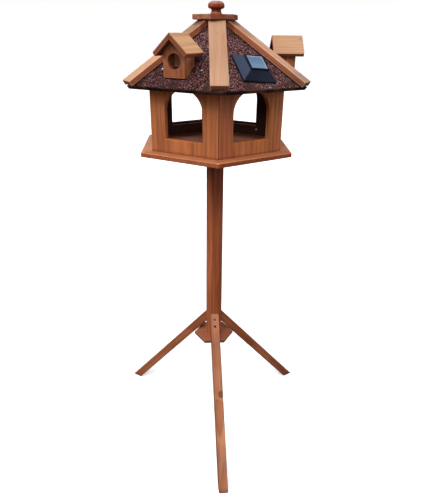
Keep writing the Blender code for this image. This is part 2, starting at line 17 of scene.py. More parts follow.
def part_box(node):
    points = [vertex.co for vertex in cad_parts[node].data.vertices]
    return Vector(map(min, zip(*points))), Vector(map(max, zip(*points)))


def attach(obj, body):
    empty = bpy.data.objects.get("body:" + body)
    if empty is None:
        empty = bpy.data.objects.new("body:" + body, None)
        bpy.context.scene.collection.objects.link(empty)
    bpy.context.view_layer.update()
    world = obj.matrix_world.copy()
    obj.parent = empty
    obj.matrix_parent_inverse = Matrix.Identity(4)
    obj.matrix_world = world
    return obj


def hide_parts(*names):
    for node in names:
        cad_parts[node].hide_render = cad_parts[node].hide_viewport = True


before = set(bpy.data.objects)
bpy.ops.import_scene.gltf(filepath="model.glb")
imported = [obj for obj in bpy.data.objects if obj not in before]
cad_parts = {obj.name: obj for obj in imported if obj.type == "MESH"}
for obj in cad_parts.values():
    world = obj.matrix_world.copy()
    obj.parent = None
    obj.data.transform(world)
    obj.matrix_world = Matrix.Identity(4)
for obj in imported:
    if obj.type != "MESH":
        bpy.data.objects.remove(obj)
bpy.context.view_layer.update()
HOUSE = "birdhouse"

# %% [markdown]
# The photograph looks down on the roof from just outside arm's reach, a little from the left. The
# camera is set from its place, the direction that it looks in and a slight roll. A lens of 34 mm on
# a 36 mm sensor gives the same strong perspective, so the legs spread towards us as they do there.

# %% Camera
CAMERA_PLACE = Vector((-0.0446, -1.2954, 1.2349))
CAMERA_HEADING = radians(2.39)
CAMERA_DOWN = radians(24.95)
CAMERA_ROLL = radians(0.68)

ahead = Vector((
    sin(CAMERA_HEADING) * cos(CAMERA_DOWN), cos(CAMERA_HEADING) * cos(CAMERA_DOWN), -sin(CAMERA_DOWN)
))
across = ahead.cross(Vector((0, 0, 1))).normalized()
upward = across.cross(ahead)
looking = Matrix((across, upward, -ahead)).transposed() @ Matrix.Rotation(CAMERA_ROLL, 3, "Z")
lens = bpy.data.cameras.new("photo_lens")
lens.lens = 34.0
lens.sensor_width = 36.0
lens.clip_start = 0.05
lens.clip_end = 200.0
camera = bpy.data.objects.new("photo_camera", lens)
camera.matrix_world = Matrix.Translation(CAMERA_PLACE) @ looking.to_4x4()
bpy.context.scene.collection.objects.link(camera)
bpy.context.scene.camera = camera
print("camera at", tuple(round(v, 3) for v in CAMERA_PLACE))

# %% [markdown]
# Shader trees are easier to read when each step is one short line. This small helper adds a node,
# feeds its sockets with numbers, colours or other sockets, and hands back the result.


# %% A helper for shader trees
class Tree:
    """Short words for the nodes of one shader tree."""

    def __init__(self, nodes):
        self.nodes = nodes

    def add(self, kind, **settings):
        made = self.nodes.nodes.new(kind)
        for name, value in settings.items():
            setattr(made, name, value)
        return made

    def feed(self, socket, value):
        if isinstance(value, bpy.types.NodeSocket):
            self.nodes.links.new(value, socket)
        elif value is not None:
            socket.default_value = value

    def math(self, operation, *values, clamp=False):
        made = self.add("ShaderNodeMath", operation=operation, use_clamp=clamp)
        for socket, value in zip(made.inputs, values):
            self.feed(socket, value)
        return made.outputs[0]

    def vector(self, operation, first, second=None, scale=None):
        made = self.add("ShaderNodeVectorMath", operation=operation)
        self.feed(made.inputs[0], first)
        self.feed(made.inputs[1], second)
        self.feed(made.inputs[3], scale)
        return made.outputs["Value" if operation in ("LENGTH", "DOT_PRODUCT") else "Vector"]

    def split(self, vector):
        made = self.add("ShaderNodeSeparateXYZ")
        self.feed(made.inputs[0], vector)
        return made.outputs

    def join(self, x, y, z):
        made = self.add("ShaderNodeCombineXYZ")
        for socket, value in zip(made.inputs, (x, y, z)):
            self.feed(socket, value)
        return made.outputs[0]

    def noise(self, vector, scale, detail=2.0, roughness=0.5):
        made = self.add("ShaderNodeTexNoise")
        self.feed(made.inputs["Vector"], vector)
        self.feed(made.inputs["Scale"], scale)
        self.feed(made.inputs["Detail"], detail)
        self.feed(made.inputs["Roughness"], roughness)
        return made.outputs["Fac"]

    def cells(self, vector, scale, feature="F1"):
        made = self.add("ShaderNodeTexVoronoi", feature=feature)
        self.feed(made.inputs["Vector"], vector)
        self.feed(made.inputs["Scale"], scale)
        return made.outputs

    def drawn_out(self, vector, share):
        """A vector whose third part is shortened to a share, so that a pattern on it is drawn out."""
        return self.vector("MULTIPLY", vector, (1.0, 1.0, share))

    def rise(self, value, low, high):
        """0 below low, 1 above high, with a smooth slope between them."""
        made = self.add("ShaderNodeMapRange", interpolation_type="SMOOTHSTEP")
        for name, number in (("Value", value), ("From Min", low), ("From Max", high)):
            self.feed(made.inputs[name], number)
        return made.outputs["Result"]

    def mix(self, factor, first, second, blend="MIX"):
        made = self.add("ShaderNodeMix", data_type="RGBA", blend_type=blend, clamp_factor=True)
        self.feed(made.inputs[0], factor)
        self.feed(made.inputs[6], first)
        self.feed(made.inputs[7], second)
        return made.outputs[2]

    def place(self, group, values):
        """Place a node group by its name, feed its named inputs and hand back its outputs."""
        made = self.add("ShaderNodeGroup", node_tree=bpy.data.node_groups[group])
        for name, value in values.items():
            self.feed(made.inputs[name], value)
        return made.outputs


def start_group(name, inputs, outputs):
    """A new shader node group with named sockets: its tree, its inputs and its output node."""
    group = bpy.data.node_groups.new(name, "ShaderNodeTree")
    for label, kind, value in inputs:
        socket = group.interface.new_socket(name=label, in_out="INPUT", socket_type="NodeSocket" + kind)
        if value is not None:
            socket.default_value = value
    for label, kind in outputs:
        group.interface.new_socket(name=label, in_out="OUTPUT", socket_type="NodeSocket" + kind)
    tree = Tree(group)
    return tree, tree.add("NodeGroupInput").outputs, tree.add("NodeGroupOutput").inputs


def colour(red, green, blue):
    """A colour as it looks on screen, 0 to 255, turned into the linear values that shaders use."""
    steps = np.array((red, green, blue)) / 255.0
    linear = np.where(steps <= 0.04045, steps / 12.92, ((steps + 0.055) / 1.055) ** 2.4)
    return (*(float(v) for v in linear), 1.0)


print("mid grey is", [round(v, 3) for v in colour(128, 128, 128)])

# %% [markdown]
# Every finish starts and ends alike. A Principled shader reads a colour and a gloss, and a Bump node
# turns a height into a slightly uneven surface. Patterns read Object coordinates, which move with a
# part, and a Mapping node turns them into a piece's own axes where the grain needs it.


# %% Helpers for finishes
def new_finish(name):
    """A new material, with its tree, its shader and its object coordinates."""
    material = bpy.data.materials.new(name)
    material.use_nodes = True
    tree = Tree(material.node_tree)
    place = tree.add("ShaderNodeTexCoord").outputs["Object"]
    return material, tree, material.node_tree.nodes["Principled BSDF"], place


def in_axes(tree, place, axes):
    """A place as a piece's own axes see it: turned and shifted by the inverse of those axes."""
    mapping = tree.add("ShaderNodeMapping")
    inverse = axes.inverted()
    mapping.inputs["Location"].default_value = inverse.translation
    mapping.inputs["Rotation"].default_value = inverse.to_euler("XYZ")
    tree.feed(mapping.inputs["Vector"], place)
    return mapping.outputs[0]


def wear(tree, shader, pattern, shine, strength, depth):
    """Let a shader wear a pattern: its colour, its roughness and, through a bump, its height."""
    tree.feed(shader.inputs["Base Color"], pattern["Color"])
    tree.feed(shader.inputs["Roughness"], pattern["Roughness"])
    shader.inputs["Specular IOR Level"].default_value = shine
    bump = tree.add("ShaderNodeBump")
    bump.inputs["Strength"].default_value = strength
    bump.inputs["Distance"].default_value = depth
    tree.feed(bump.inputs["Height"], pattern["Height"])
    tree.feed(shader.inputs["Normal"], bump.outputs["Normal"])


print("materials so far", len(bpy.data.materials))

# %% [markdown]
# Stained softwood is the main finish. A picture of wood would not know where a board was sawn from
# the log, so the rings are worked out in space instead. Each board has its own place in an invisible
# tree: rings are the distance from the pith, wandering a little along the grain, and where a knot
# sits they flow round it. Fine fibres and wider bands of stain run along the board, and the sawn ends
# drink more stain. The long edges take an edge colour: rubbed paler with a painted highlight on most
# boards, and a painted shade on the post, the legs and the hub plate.

# %% Stained board group
tree, given, result = start_group(
    "stained_board",
    [
        ("Vector", "Vector", None), ("Tree Place", "Vector", (0.01, 0.05, 0.0)),
        ("Half Size", "Vector", (0.05, 0.01, 0.1)), ("Pale", "Color", None), ("Dark", "Color", None),
        ("Face Pale", "Color", None), ("Face Dark", "Color", None), ("Face Share", "Float", 0.0),
        ("Back Color", "Color", None), ("Back Share", "Float", 0.0),
        ("Ring Width", "Float", 0.005), ("Ring Depth", "Float", 0.45), ("Streaks", "Float", 0.5),
        ("End Color", "Color", None), ("End Stain", "Float", 0.35),
        ("Rub Color", "Color", None), ("Edge Rub", "Float", 0.25),
        ("Knot Place", "Vector", (0.0, 0.0, 9.0)), ("Knot Size", "Float", 0.005),
    ],
    [("Color", "Color"), ("Roughness", "Float"), ("Height", "Float")],
)
print("stained_board takes", [socket.name for socket in given if socket.name])

# %% [markdown]
# The rings come first. A slow noise pushes every point a little, so that the rings wander, and near a
# knot they are pushed outwards. The distance from the pith, counted in ring widths, gives the place in
# a ring: pale early wood, which darkens into late wood and ends sharply.

# %% Rings about the pith
RING_WANDER = 0.02
board = given["Vector"]
inside = tree.vector("ADD", board, given["Tree Place"])
drift = tree.add("ShaderNodeTexNoise")
tree.feed(drift.inputs["Vector"], tree.drawn_out(inside, 0.22))
tree.feed(drift.inputs["Scale"], 14.0)
tree.feed(drift.inputs["Detail"], 1.5)
push = tree.vector("SUBTRACT", drift.outputs["Color"], (0.5, 0.5, 0.5))
x, y = tree.split(tree.vector("ADD", inside, tree.vector("SCALE", push, scale=RING_WANDER)))[:2]
knot_way = tree.drawn_out(tree.vector("SUBTRACT", board, given["Knot Place"]), 0.75)
knot_far = tree.math("DIVIDE", tree.vector("LENGTH", knot_way), given["Knot Size"])
swerve = tree.math("MULTIPLY", tree.math("MULTIPLY", knot_far, knot_far), -0.25)
swerve = tree.math("MULTIPLY", tree.math("POWER", 2.718, swerve), given["Knot Size"])
from_pith = tree.math("SQRT", tree.math("ADD", tree.math("MULTIPLY", x, x), tree.math("MULTIPLY", y, y)))
from_pith = tree.math("ADD", from_pith, swerve)
ring = tree.math("FRACT", tree.math("DIVIDE", from_pith, given["Ring Width"]))
late = tree.math("MULTIPLY", tree.math("POWER", ring, 2.2), tree.rise(ring, 1.0, 0.93))
print("ring nodes", len(tree.nodes.nodes))

# %% [markdown]
# Fine fibres, wider bands of stain and cloudy patches lie over the rings. All three are one kind of
# noise, drawn out along the grain by different shares, and together they say how dark a point is.

# %% Fibres, bands and patches
fibres = tree.noise(tree.drawn_out(inside, 0.018), 620.0, 2.0)
bands = tree.noise(tree.drawn_out(inside, 0.035), 105.0, 2.5, 0.62)
patches = tree.noise(tree.drawn_out(inside, 0.35), 16.0, 2.0)
shade = tree.math("MULTIPLY", late, given["Ring Depth"])
for part, weight in ((bands, 1.5), (fibres, 0.7), (patches, 0.9)):
    part = tree.math("MULTIPLY", tree.math("SUBTRACT", part, 0.5), given["Streaks"])
    shade = tree.math("ADD", shade, tree.math("MULTIPLY", part, weight))
shade = tree.math("ADD", shade, 0.3, clamp=True)
print("ring and streak nodes", len(tree.nodes.nodes))

# %% [markdown]
# A board's face, back, edges and sawn ends look different, partly from weathering and partly from
# painted light and shade. How deep a point lies under each pair of faces tells them apart: near one
# pair it is on a face or an end, and near two pairs on an edge.

# %% Faces, edges and sawn ends
# Depths under a surface, in metres, at which each mask is 0 and 1, and how far noise makes them ragged
SKIN_DEPTH = (0.0016, 0.0006)
EDGE_DEPTH, EDGE_BREAK = (0.0038, 0.0014), 0.0022
SOAK_DEPTH, SOAK_BREAK = (0.0022, 0.0008), 0.0012

side, front, end = tree.split(tree.vector("SUBTRACT", given["Half Size"], tree.vector("ABSOLUTE", board)))
on_skin = tree.rise(front, *SKIN_DEPTH)
on_face = tree.math("MULTIPLY", on_skin, tree.math("GREATER_THAN", tree.split(board)[1], 0.0))
on_back = tree.math("SUBTRACT", on_skin, on_face)
face_share = tree.math("MULTIPLY", on_face, given["Face Share"])
pale = tree.mix(face_share, given["Pale"], given["Face Pale"])
dark = tree.mix(face_share, given["Dark"], given["Face Dark"])
wood = tree.mix(shade, pale, dark)
wood = tree.mix(tree.math("MULTIPLY", on_back, given["Back Share"]), wood, given["Back Color"])

soaked = tree.rise(tree.math("ADD", end, tree.math("MULTIPLY", fibres, SOAK_BREAK)), *SOAK_DEPTH)
end_shade = tree.math("MULTIPLY", tree.math("ADD", late, fibres), 0.45)
end_wood = tree.mix(end_shade, given["End Color"], given["Dark"])
wood = tree.mix(tree.math("MULTIPLY", soaked, given["End Stain"]), wood, end_wood)

# The middle one of the three depths is small only on edges
least = tree.math("MINIMUM", side, front)
most = tree.math("MAXIMUM", side, front)
middle = tree.math("MAXIMUM", least, tree.math("MINIMUM", most, end))
# Edge colour: rubbed pale with a painted highlight on most boards, painted shade on the post, legs and hub
# plate
edge_break = tree.math("MULTIPLY", tree.noise(inside, 260.0, 2.0), EDGE_BREAK)
on_edge = tree.rise(tree.math("ADD", middle, edge_break), *EDGE_DEPTH)
wood = tree.mix(tree.math("MULTIPLY", on_edge, given["Edge Rub"]), wood, given["Rub Color"])
print("nodes with faces and edges", len(tree.nodes.nodes))

# %% [markdown]
# A knot is a dark heart with a darker rim of bark. It lies over everything else, and it sits where its
# board's own values put it. Then the finished colour, roughness and height leave the group.

# %% Knot, and what the group gives
heart = tree.rise(knot_far, 1.05, 0.7)
rim = tree.math("MULTIPLY", tree.rise(knot_far, 1.5, 1.0), tree.rise(knot_far, 0.55, 0.95))
knot_dark = tree.mix(1.0, given["Dark"], (0.42, 0.30, 0.26, 1.0), "MULTIPLY")
wood = tree.mix(tree.math("MULTIPLY", heart, 0.72), wood, given["Dark"])
wood = tree.mix(tree.math("MULTIPLY", rim, 0.85), wood, knot_dark)
relief = tree.math("SUBTRACT", tree.math("MULTIPLY", fibres, 0.6), tree.math("MULTIPLY", late, 0.4))
tree.feed(result["Color"], wood)
tree.feed(result["Roughness"], tree.math("ADD", 0.5, tree.math("MULTIPLY", shade, 0.22)))
tree.feed(result["Height"], tree.math("SUBTRACT", relief, tree.math("MULTIPLY", rim, 0.5)))
print("stained_board has", len(tree.nodes.nodes), "nodes")

# %% [markdown]
# Every board needs its own axes: across, through and along the grain. They are found from the
# direction that the grain runs in and the direction that the board faces, and the board's middle and
# half size are measured from its own corners. A Mapping node turns the pattern into those axes.


# %% Boards and their axes
def points_of(mesh):
    """All points of a mesh, one row each."""
    points = np.empty(len(mesh.vertices) * 3, np.float32)
    mesh.vertices.foreach_get("co", points)
    return points.reshape(-1, 3).astype(float)


def corners_of(node):
    """All corner points of a node, one row each."""
    return points_of(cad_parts[node].data)


def reach_of(node, direction):
    """The least and the most that a node's corners reach along a direction from the origin."""
    along = corners_of(node) @ np.array(direction)
    return along.min(), along.max()


def board_axes(node, grain, facing):
    """A matrix with the columns across, through and along, at the board's middle, and its half size."""
    along = Vector(grain).normalized()
    through = Vector(facing)
    through = (through - along * through.dot(along)).normalized()
    sideways = through.cross(along)
    turn = Matrix((sideways, through, along)).transposed()
    spread = corners_of(node) @ np.array(turn)
    low, high = spread.min(axis=0), spread.max(axis=0)
    middle = turn @ Vector((low + high) / 2)
    return Matrix.Translation(middle) @ turn.to_4x4(), Vector((high - low) / 2)


print("the post reaches from and to", [round(float(v), 3) for v in reach_of("post", (0, 0, 1))])

# %% [markdown]
# The same stain looks different on every part, because the boards differ in age, in grain and in how
# they face the weather, and some of their colours are painted light and shade. So each kind of board
# is a short list: pale and dark screen colours, the width and depth of its rings, how streaky it is, and
# a colour and a strength each for its ends, its edges and, where it needs one, its back. A face names
# its own pale and dark.

# %% Kinds of board
WOODS = {
    # The walls' back, their inner face, is a near-black painted shade for the dark inside of the house
    "wall": dict(
        pale=(190, 114, 66), dark=(126, 66, 36), ring=(0.0110, 0.36), streaks=0.95,
        end=((140, 76, 46), 0.3), rub_and_shading=((204, 134, 92), 0.5), back=((43, 15, 14), 0.9),
    ),
    "floor": dict(
        pale=(170, 101, 66), dark=(128, 68, 40), ring=(0.0080, 0.30), streaks=0.6,
        end=((150, 84, 54), 0.3), rub_and_shading=((236, 164, 110), 0.6), face=((212, 146, 108), (168, 102, 70)),
    ),
    "post": dict(
        pale=(176, 94, 54), dark=(112, 50, 28), ring=(0.0070, 0.45), streaks=0.9,
        end=((130, 66, 42), 0.4), rub_and_shading=((92, 50, 34), 0.35),
    ),
    "leg": dict(
        pale=(164, 90, 55), dark=(112, 56, 31), ring=(0.0060, 0.42), streaks=1.35,
        end=((118, 62, 40), 0.5), rub_and_shading=((88, 52, 38), 0.6), face=((186, 120, 84), (136, 76, 50)),
    ),
    "hub": dict(
        pale=(140, 76, 48), dark=(84, 40, 26), ring=(0.0070, 0.30), streaks=0.7,
        end=((70, 34, 22), 0.6), rub_and_shading=((70, 38, 26), 0.5), face=((178, 108, 74), (136, 74, 48)),
    ),
    # Batten tops are paler than their sides: partly weathering, partly a painted sheen
    "batten": dict(
        pale=(182, 106, 72), dark=(118, 58, 36), ring=(0.0055, 0.28), streaks=0.75,
        end=((134, 74, 50), 0.9), rub_and_shading=((210, 168, 140), 0.5), face=((194, 152, 120), (168, 120, 88)),
    ),
    "cap": dict(
        pale=(166, 104, 76), dark=(110, 56, 40), ring=(0.0055, 0.45), streaks=1.0,
        end=((140, 90, 60), 0.3), rub_and_shading=((188, 140, 108), 0.35),
    ),
    "knob": dict(
        pale=(166, 84, 56), dark=(100, 34, 18), ring=(0.0050, 0.35), streaks=0.8,
        end=((150, 96, 76), 0.0), rub_and_shading=((170, 110, 84), 0.0),
    ),
    "mini": dict(
        pale=(170, 104, 68), dark=(112, 58, 36), ring=(0.0045, 0.45), streaks=0.95,
        end=((150, 86, 54), 0.2), rub_and_shading=((180, 124, 94), 0.2), back=((150, 96, 62), 0.8),
    ),
    "mini_roof": dict(
        pale=(176, 104, 66), dark=(120, 62, 38), ring=(0.0050, 0.4), streaks=0.8,
        end=((116, 56, 22), 0.9), rub_and_shading=((214, 150, 108), 0.25), back=((90, 46, 28), 0.6),
        face=((220, 172, 131), (182, 127, 88)),
    ),
    "raw": dict(
        pale=(205, 175, 132), dark=(160, 122, 82), ring=(0.0040, 0.30), streaks=0.55,
        end=((150, 110, 72), 0.3), rub_and_shading=((215, 190, 150), 0.1),
    ),
}
WOODS["mini_cheek"] = dict(WOODS["mini"], pale=(204, 128, 84), dark=(140, 76, 48))
# Where a knot sits on its board, from the board's middle, and its size
KNOTS = {
    "leg_front": ((-0.0065, 0.0133, 0.014), 0.0058),
    "hip_batten_1": ((-0.001, 0.0067, -0.067), 0.0008),
}
print("kinds of board", ", ".join(WOODS))

# %% [markdown]
# No two boards come from the same place in the log, so each one draws its own place in the tree and
# its own slight lightness. The draw depends only on the board's number, so it is the same every time.

# %% Stained boards
FIRST_SEED = 1000
board_count = 0


def tinted(shade, tint):
    """A screen colour in linear values, made a little lighter or darker."""
    return tuple(min(v * tint, 1.0) for v in colour(*shade)[:3]) + (1.0,)


def board_material(node, wood, grain, facing):
    """Stained softwood for one board, with its own place in the tree."""
    global board_count
    board_count += 1
    chance = np.random.default_rng(FIRST_SEED + board_count)
    tint = 1.0 + chance.uniform(-0.05, 0.05)
    tree_place = (chance.uniform(-0.03, 0.03), chance.uniform(0.03, 0.08), chance.uniform(0.0, 40.0))
    axes, half = board_axes(node, grain, facing)
    stain = WOODS[wood]
    face_pale, face_dark = stain.get("face", (stain["pale"], stain["dark"]))
    back, back_share = stain.get("back", ((0, 0, 0), 0.0))
    (end, end_share), (rub_and_shading, rub_and_shading_share) = stain["end"], stain["rub_and_shading"]
    material, tree, shader, place = new_finish("stained_" + node)
    values = {
        "Vector": in_axes(tree, place, axes), "Tree Place": tree_place, "Half Size": half,
        "Pale": tinted(stain["pale"], tint), "Dark": tinted(stain["dark"], tint),
        "Face Pale": tinted(face_pale, tint), "Face Dark": tinted(face_dark, tint),
        "Face Share": float("face" in stain), "Back Color": colour(*back), "Back Share": back_share,
        "Ring Width": stain["ring"][0], "Ring Depth": stain["ring"][1], "Streaks": stain["streaks"],
        "End Color": colour(*end), "End Stain": end_share,
        "Rub Color": colour(*rub_and_shading), "Edge Rub": rub_and_shading_share,
    }
    if node in KNOTS:
        values["Knot Place"], values["Knot Size"] = KNOTS[node]
    wear(tree, shader, tree.place("stained_board", values), shine=0.25, strength=0.4, depth=0.0006)
    return material


print("boards with a knot", list(KNOTS))

# %% [markdown]
# Weather and wear change a finish only here and there: the floor is fresher indoors, and the battens
# are dirtier under the cap. Painting such places by hand would need a picture, so they are described
# instead: a mask that rises along a direction, and one that fills an upright cylinder. A third group
# multiplies a colour by a tint where a mask is 1. Every finish can then be tinted with these three.

# %% Groups for tints in places
tree, given, result = start_group(
    "mask_along",
    [
        ("Vector", "Vector", None), ("Direction", "Vector", (0.0, 0.0, 1.0)), ("Low", "Float", 0.0),
        ("High", "Float", 1.0),
    ],
    [("Mask", "Float")],
)
distance = tree.vector("DOT_PRODUCT", given["Vector"], given["Direction"])
tree.feed(result["Mask"], tree.rise(distance, given["Low"], given["High"]))

tree, given, result = start_group(
    "mask_round",
    [("Vector", "Vector", None), ("Radius", "Float", 0.1), ("Fade", "Float", 0.01)],
    [("Mask", "Float")],
)
away = tree.vector("LENGTH", tree.drawn_out(given["Vector"], 0.0))
inner_radius = tree.math("SUBTRACT", given["Radius"], given["Fade"])
tree.feed(result["Mask"], tree.rise(away, given["Radius"], inner_radius))

tree, given, result = start_group(
    "tint_by_mask",
    [("Color", "Color", None), ("Tint", "Color", None), ("Mask", "Float", 0.0)],
    [("Color", "Color")],
)
tinted_whole = tree.mix(1.0, given["Color"], given["Tint"], "MULTIPLY")
tree.feed(result["Color"], tree.mix(given["Mask"], given["Color"], tinted_whole))
print("groups so far", [group.name for group in bpy.data.node_groups])

# %% [markdown]
# In the lines below, a place is a list of masks joined with a plus sign, and it is tinted where all of
# them are 1. So a strip under a window reads as a band of heights plus a band of widths.


# %% Masks and tints
def ramp(direction, low, high):
    """A mask that rises from 0 at low to 1 at high, both measured from the origin along a direction."""
    return [("mask_along", {"Direction": direction, "Low": low, "High": high})]


def within(radius, fade):
    """A mask that is 1 inside an upright cylinder and fades out over the last stretch."""
    return [("mask_round", {"Radius": radius, "Fade": fade})]


def band(direction, low, high, fade):
    """A mask that is 1 between two distances along a direction: one ramp up times one ramp down."""
    return ramp(direction, low - fade, low) + ramp(direction, high + fade, high)


def mask_at(tree, place, masks):
    """The product of all the masks in a list at a place."""
    product = None
    for group, values in masks:
        mask = tree.place(group, {"Vector": place, **values})["Mask"]
        product = mask if product is None else tree.math("MULTIPLY", product, mask)
    return product


def tint_where(material, tint, masks):
    """Multiply a finish's colour by a tint where all of the masks are 1."""
    tree = Tree(material.node_tree)
    socket = material.node_tree.nodes["Principled BSDF"].inputs["Base Color"]
    mask = mask_at(tree, tree.add("ShaderNodeTexCoord").outputs["Object"], masks)
    values = {"Color": socket.links[0].from_socket, "Tint": (*tint, 1.0), "Mask": mask}
    tree.feed(socket, tree.place("tint_by_mask", values)["Color"])


print("a band joins", len(band((0, 0, 1), 0.0, 1.0, 0.1)), "masks")

# %% [markdown]
# Metal, plastic and glass are plainer than wood, but none is one flat colour. A fine mottle breaks
# up the colour, the gloss and the surface of each.

# %% Fine mottle group
tree, given, result = start_group(
    "fine_mottle",
    [
        ("Vector", "Vector", None), ("Color", "Color", None), ("Lighter", "Color", None),
        ("Roughness", "Float", 0.4),
    ],
    [("Color", "Color"), ("Roughness", "Float"), ("Height", "Float")],
)
cloud = tree.noise(given["Vector"], 40.0, 3.0)
tree.feed(result["Color"], tree.mix(tree.rise(cloud, 0.35, 0.75), given["Color"], given["Lighter"]))
tree.feed(result["Roughness"], tree.math("ADD", given["Roughness"], tree.math("MULTIPLY", cloud, 0.12)))
tree.feed(result["Height"], tree.noise(given["Vector"], 900.0, 3.0))
print("fine_mottle has", len(tree.nodes.nodes), "nodes")

# %% [markdown]
# Each plain finish then needs only its colour, its roughness and how metallic it is. Rust and stain
# have dulled the screws, so they are hardly metallic any more, and the plastic reflects little.

# %% Plain finishes
MOTTLE_SHARE, MOTTLE_STEP = 1.24, 0.003


def plain_material(name, base, roughness, metallic=0.0, shine=0.5):
    """A finish with a fine mottle in its colour, its gloss and its surface."""
    material, tree, shader, place = new_finish(name)
    lighter = tuple(min(v * MOTTLE_SHARE + MOTTLE_STEP, 1.0) for v in base[:3]) + (1.0,)
    values = {"Vector": place, "Color": base, "Lighter": lighter, "Roughness": roughness}
    wear(tree, shader, tree.place("fine_mottle", values), shine, strength=0.15, depth=0.0002)
    shader.inputs["Metallic"].default_value = metallic
    return material


PLASTIC = plain_material("black_moulded_plastic", colour(26, 31, 44), 0.32, shine=0.16)
LENS = plain_material("milky_lens", colour(236, 234, 222), 0.25)
BOARD = plain_material("green_circuit_board", colour(34, 96, 52), 0.45)
TIN = plain_material("tinned_steel", colour(176, 176, 180), 0.3, 1.0)
STEEL = plain_material("zinc_nail", colour(206, 200, 200), 0.32, 1.0)
# A near-white screw finish, a painted glint
PALE_STEEL_GLINT = plain_material("pale_screw_glint", colour(226, 230, 222), 0.5, 0.2)
DULL_STEEL = plain_material("dark_screw", colour(66, 40, 30), 0.55, 0.25, shine=0.25)
BROWN_STEEL = plain_material("rusted_screw", colour(128, 72, 50), 0.6, 0.1, shine=0.25)
print("plain finishes", len(bpy.data.materials))

# %% [markdown]
# New pieces are surfaces worked out with numpy: a shape is a grid of points, rows along it and
# columns round it. A turned piece is the simplest: a profile of radii and heights, carried round.


# %% A surface from a grid of points
def solid_of(name, points):
    """A closed mesh object: rows of points along the shape, columns round it, an end face at each end."""
    rows, columns = points.shape[:2]
    index = np.arange(rows * columns).reshape(rows, columns)
    following = np.roll(index, -1, axis=1)
    quads = np.stack([index[:-1], following[:-1], following[1:], index[1:]], axis=-1).reshape(-1, 4)
    faces = quads.tolist() + [index[0, ::-1].tolist(), index[-1].tolist()]
    mesh = bpy.data.meshes.new(name)
    mesh.from_pydata(points.reshape(-1, 3).tolist(), [], faces)
    piece = bpy.data.objects.new(name, mesh)
    bpy.context.scene.collection.objects.link(piece)
    return piece


def skin(name, points, material, body=HOUSE):
    """A finished piece through a grid of points that rides on a body."""
    piece = solid_of(name, points)
    piece.data.shade_smooth()
    piece.data.set_sharp_from_angle(angle=radians(30))
    piece.data.materials.append(material)
    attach(piece, body)
    return piece


def round_points(radii, heights, steps=96):
    """Points on a turned shape: each radius and height carried once round the Z axis."""
    turn = np.linspace(0, 2 * pi, steps, endpoint=False)
    radii, heights = np.asarray(radii)[:, None], np.asarray(heights)[:, None]
    return np.stack([radii * np.cos(turn), radii * np.sin(turn), heights + 0 * turn], axis=-1)


def standing(points, place, normal):
    """Points made about the Z axis, set down at a place with Z along a normal."""
    turn = np.array(Vector(normal).to_track_quat("Z", "Y").to_matrix())
    return points @ turn.T + np.array(place)


print("one turn has", round_points([1.0], [0.0]).shape[1], "columns")

# %% [markdown]
# Screws are sunk in drilled holes. Each hole is a turned shape, cut out of the copied board.

# %% Drilled holes
HOLE_SIDES = 40
# How far a hole's cutter stands above the surface, the depth of its rim, and how far the pilot goes on
CUTTER_ABOVE, RIM_DEPTH, PILOT_DEEPER = 0.004, 0.0006, 0.002


def settle(piece):
    """Apply a piece's modifiers, so that its mesh is what they made."""
    graph = bpy.context.evaluated_depsgraph_get()
    settled = bpy.data.meshes.new_from_object(piece.evaluated_get(graph), depsgraph=graph)
    piece.modifiers.clear()
    piece.data = settled


def drill(piece, holes):
    """Cut countersunk holes, each a place on the surface, its outward normal, its radius and depth."""
    for number, (place, normal, radius, depth) in enumerate(holes):
        # A countersink from the surface down to the narrow pilot hole
        radii = [radius, radius, radius * 0.96, radius * 0.55, radius * 0.5]
        heights = [CUTTER_ABOVE, 0.0, -RIM_DEPTH, -depth * 0.8, -depth - PILOT_DEEPER]
        points = standing(round_points(radii[::-1], heights[::-1], HOLE_SIDES), place, normal)
        cutter = solid_of("%s_drill_%d" % (piece.name, number), points)
        cut = piece.modifiers.new("hole_%d" % number, "BOOLEAN")
        cut.operation = "DIFFERENCE"
        cut.solver = "EXACT"
        cut.object = cutter
    if holes:
        cutters = [modifier.object for modifier in piece.modifiers]
        settle(piece)
        for cutter in cutters:
            bpy.data.objects.remove(cutter, do_unlink=True)


print("drilled holes have", HOLE_SIDES, "sides")

# %% [markdown]
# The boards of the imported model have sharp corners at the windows, holes and mitres, which a saw
# leaves but sandpaper doesn't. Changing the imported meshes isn't allowed, so each board is copied, its
# loose triangles are merged back into flat faces, and a fine rounding is cut along every edge. The
# copy then stands for its node.

# %% Rounding the boards
# How far each kind of edge is sanded round, in metres
EASES = {
    "wall": 0.0009, "floor": 0.0005, "post": 0.0008, "hub": 0.0004, "leg": 0.0007, "batten": 0.0007,
    "cap": 0.0006, "mini": 0.0006, "lamp": 0.0008,
}
EDGE_STEPS = 3
MERGE_WITHIN = 2e-5
FLAT_UNDER, ROUND_OVER, SHARP_OVER = radians(0.4), radians(20), radians(50)


def merged_copy(node):
    """The node's triangles with shared corners merged and flat neighbours joined into one face."""
    shape = bmesh.new()
    shape.from_mesh(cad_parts[node].data)
    bmesh.ops.remove_doubles(shape, verts=shape.verts, dist=MERGE_WITHIN)
    bmesh.ops.dissolve_limit(shape, angle_limit=FLAT_UNDER, verts=shape.verts, edges=shape.edges)
    return shape


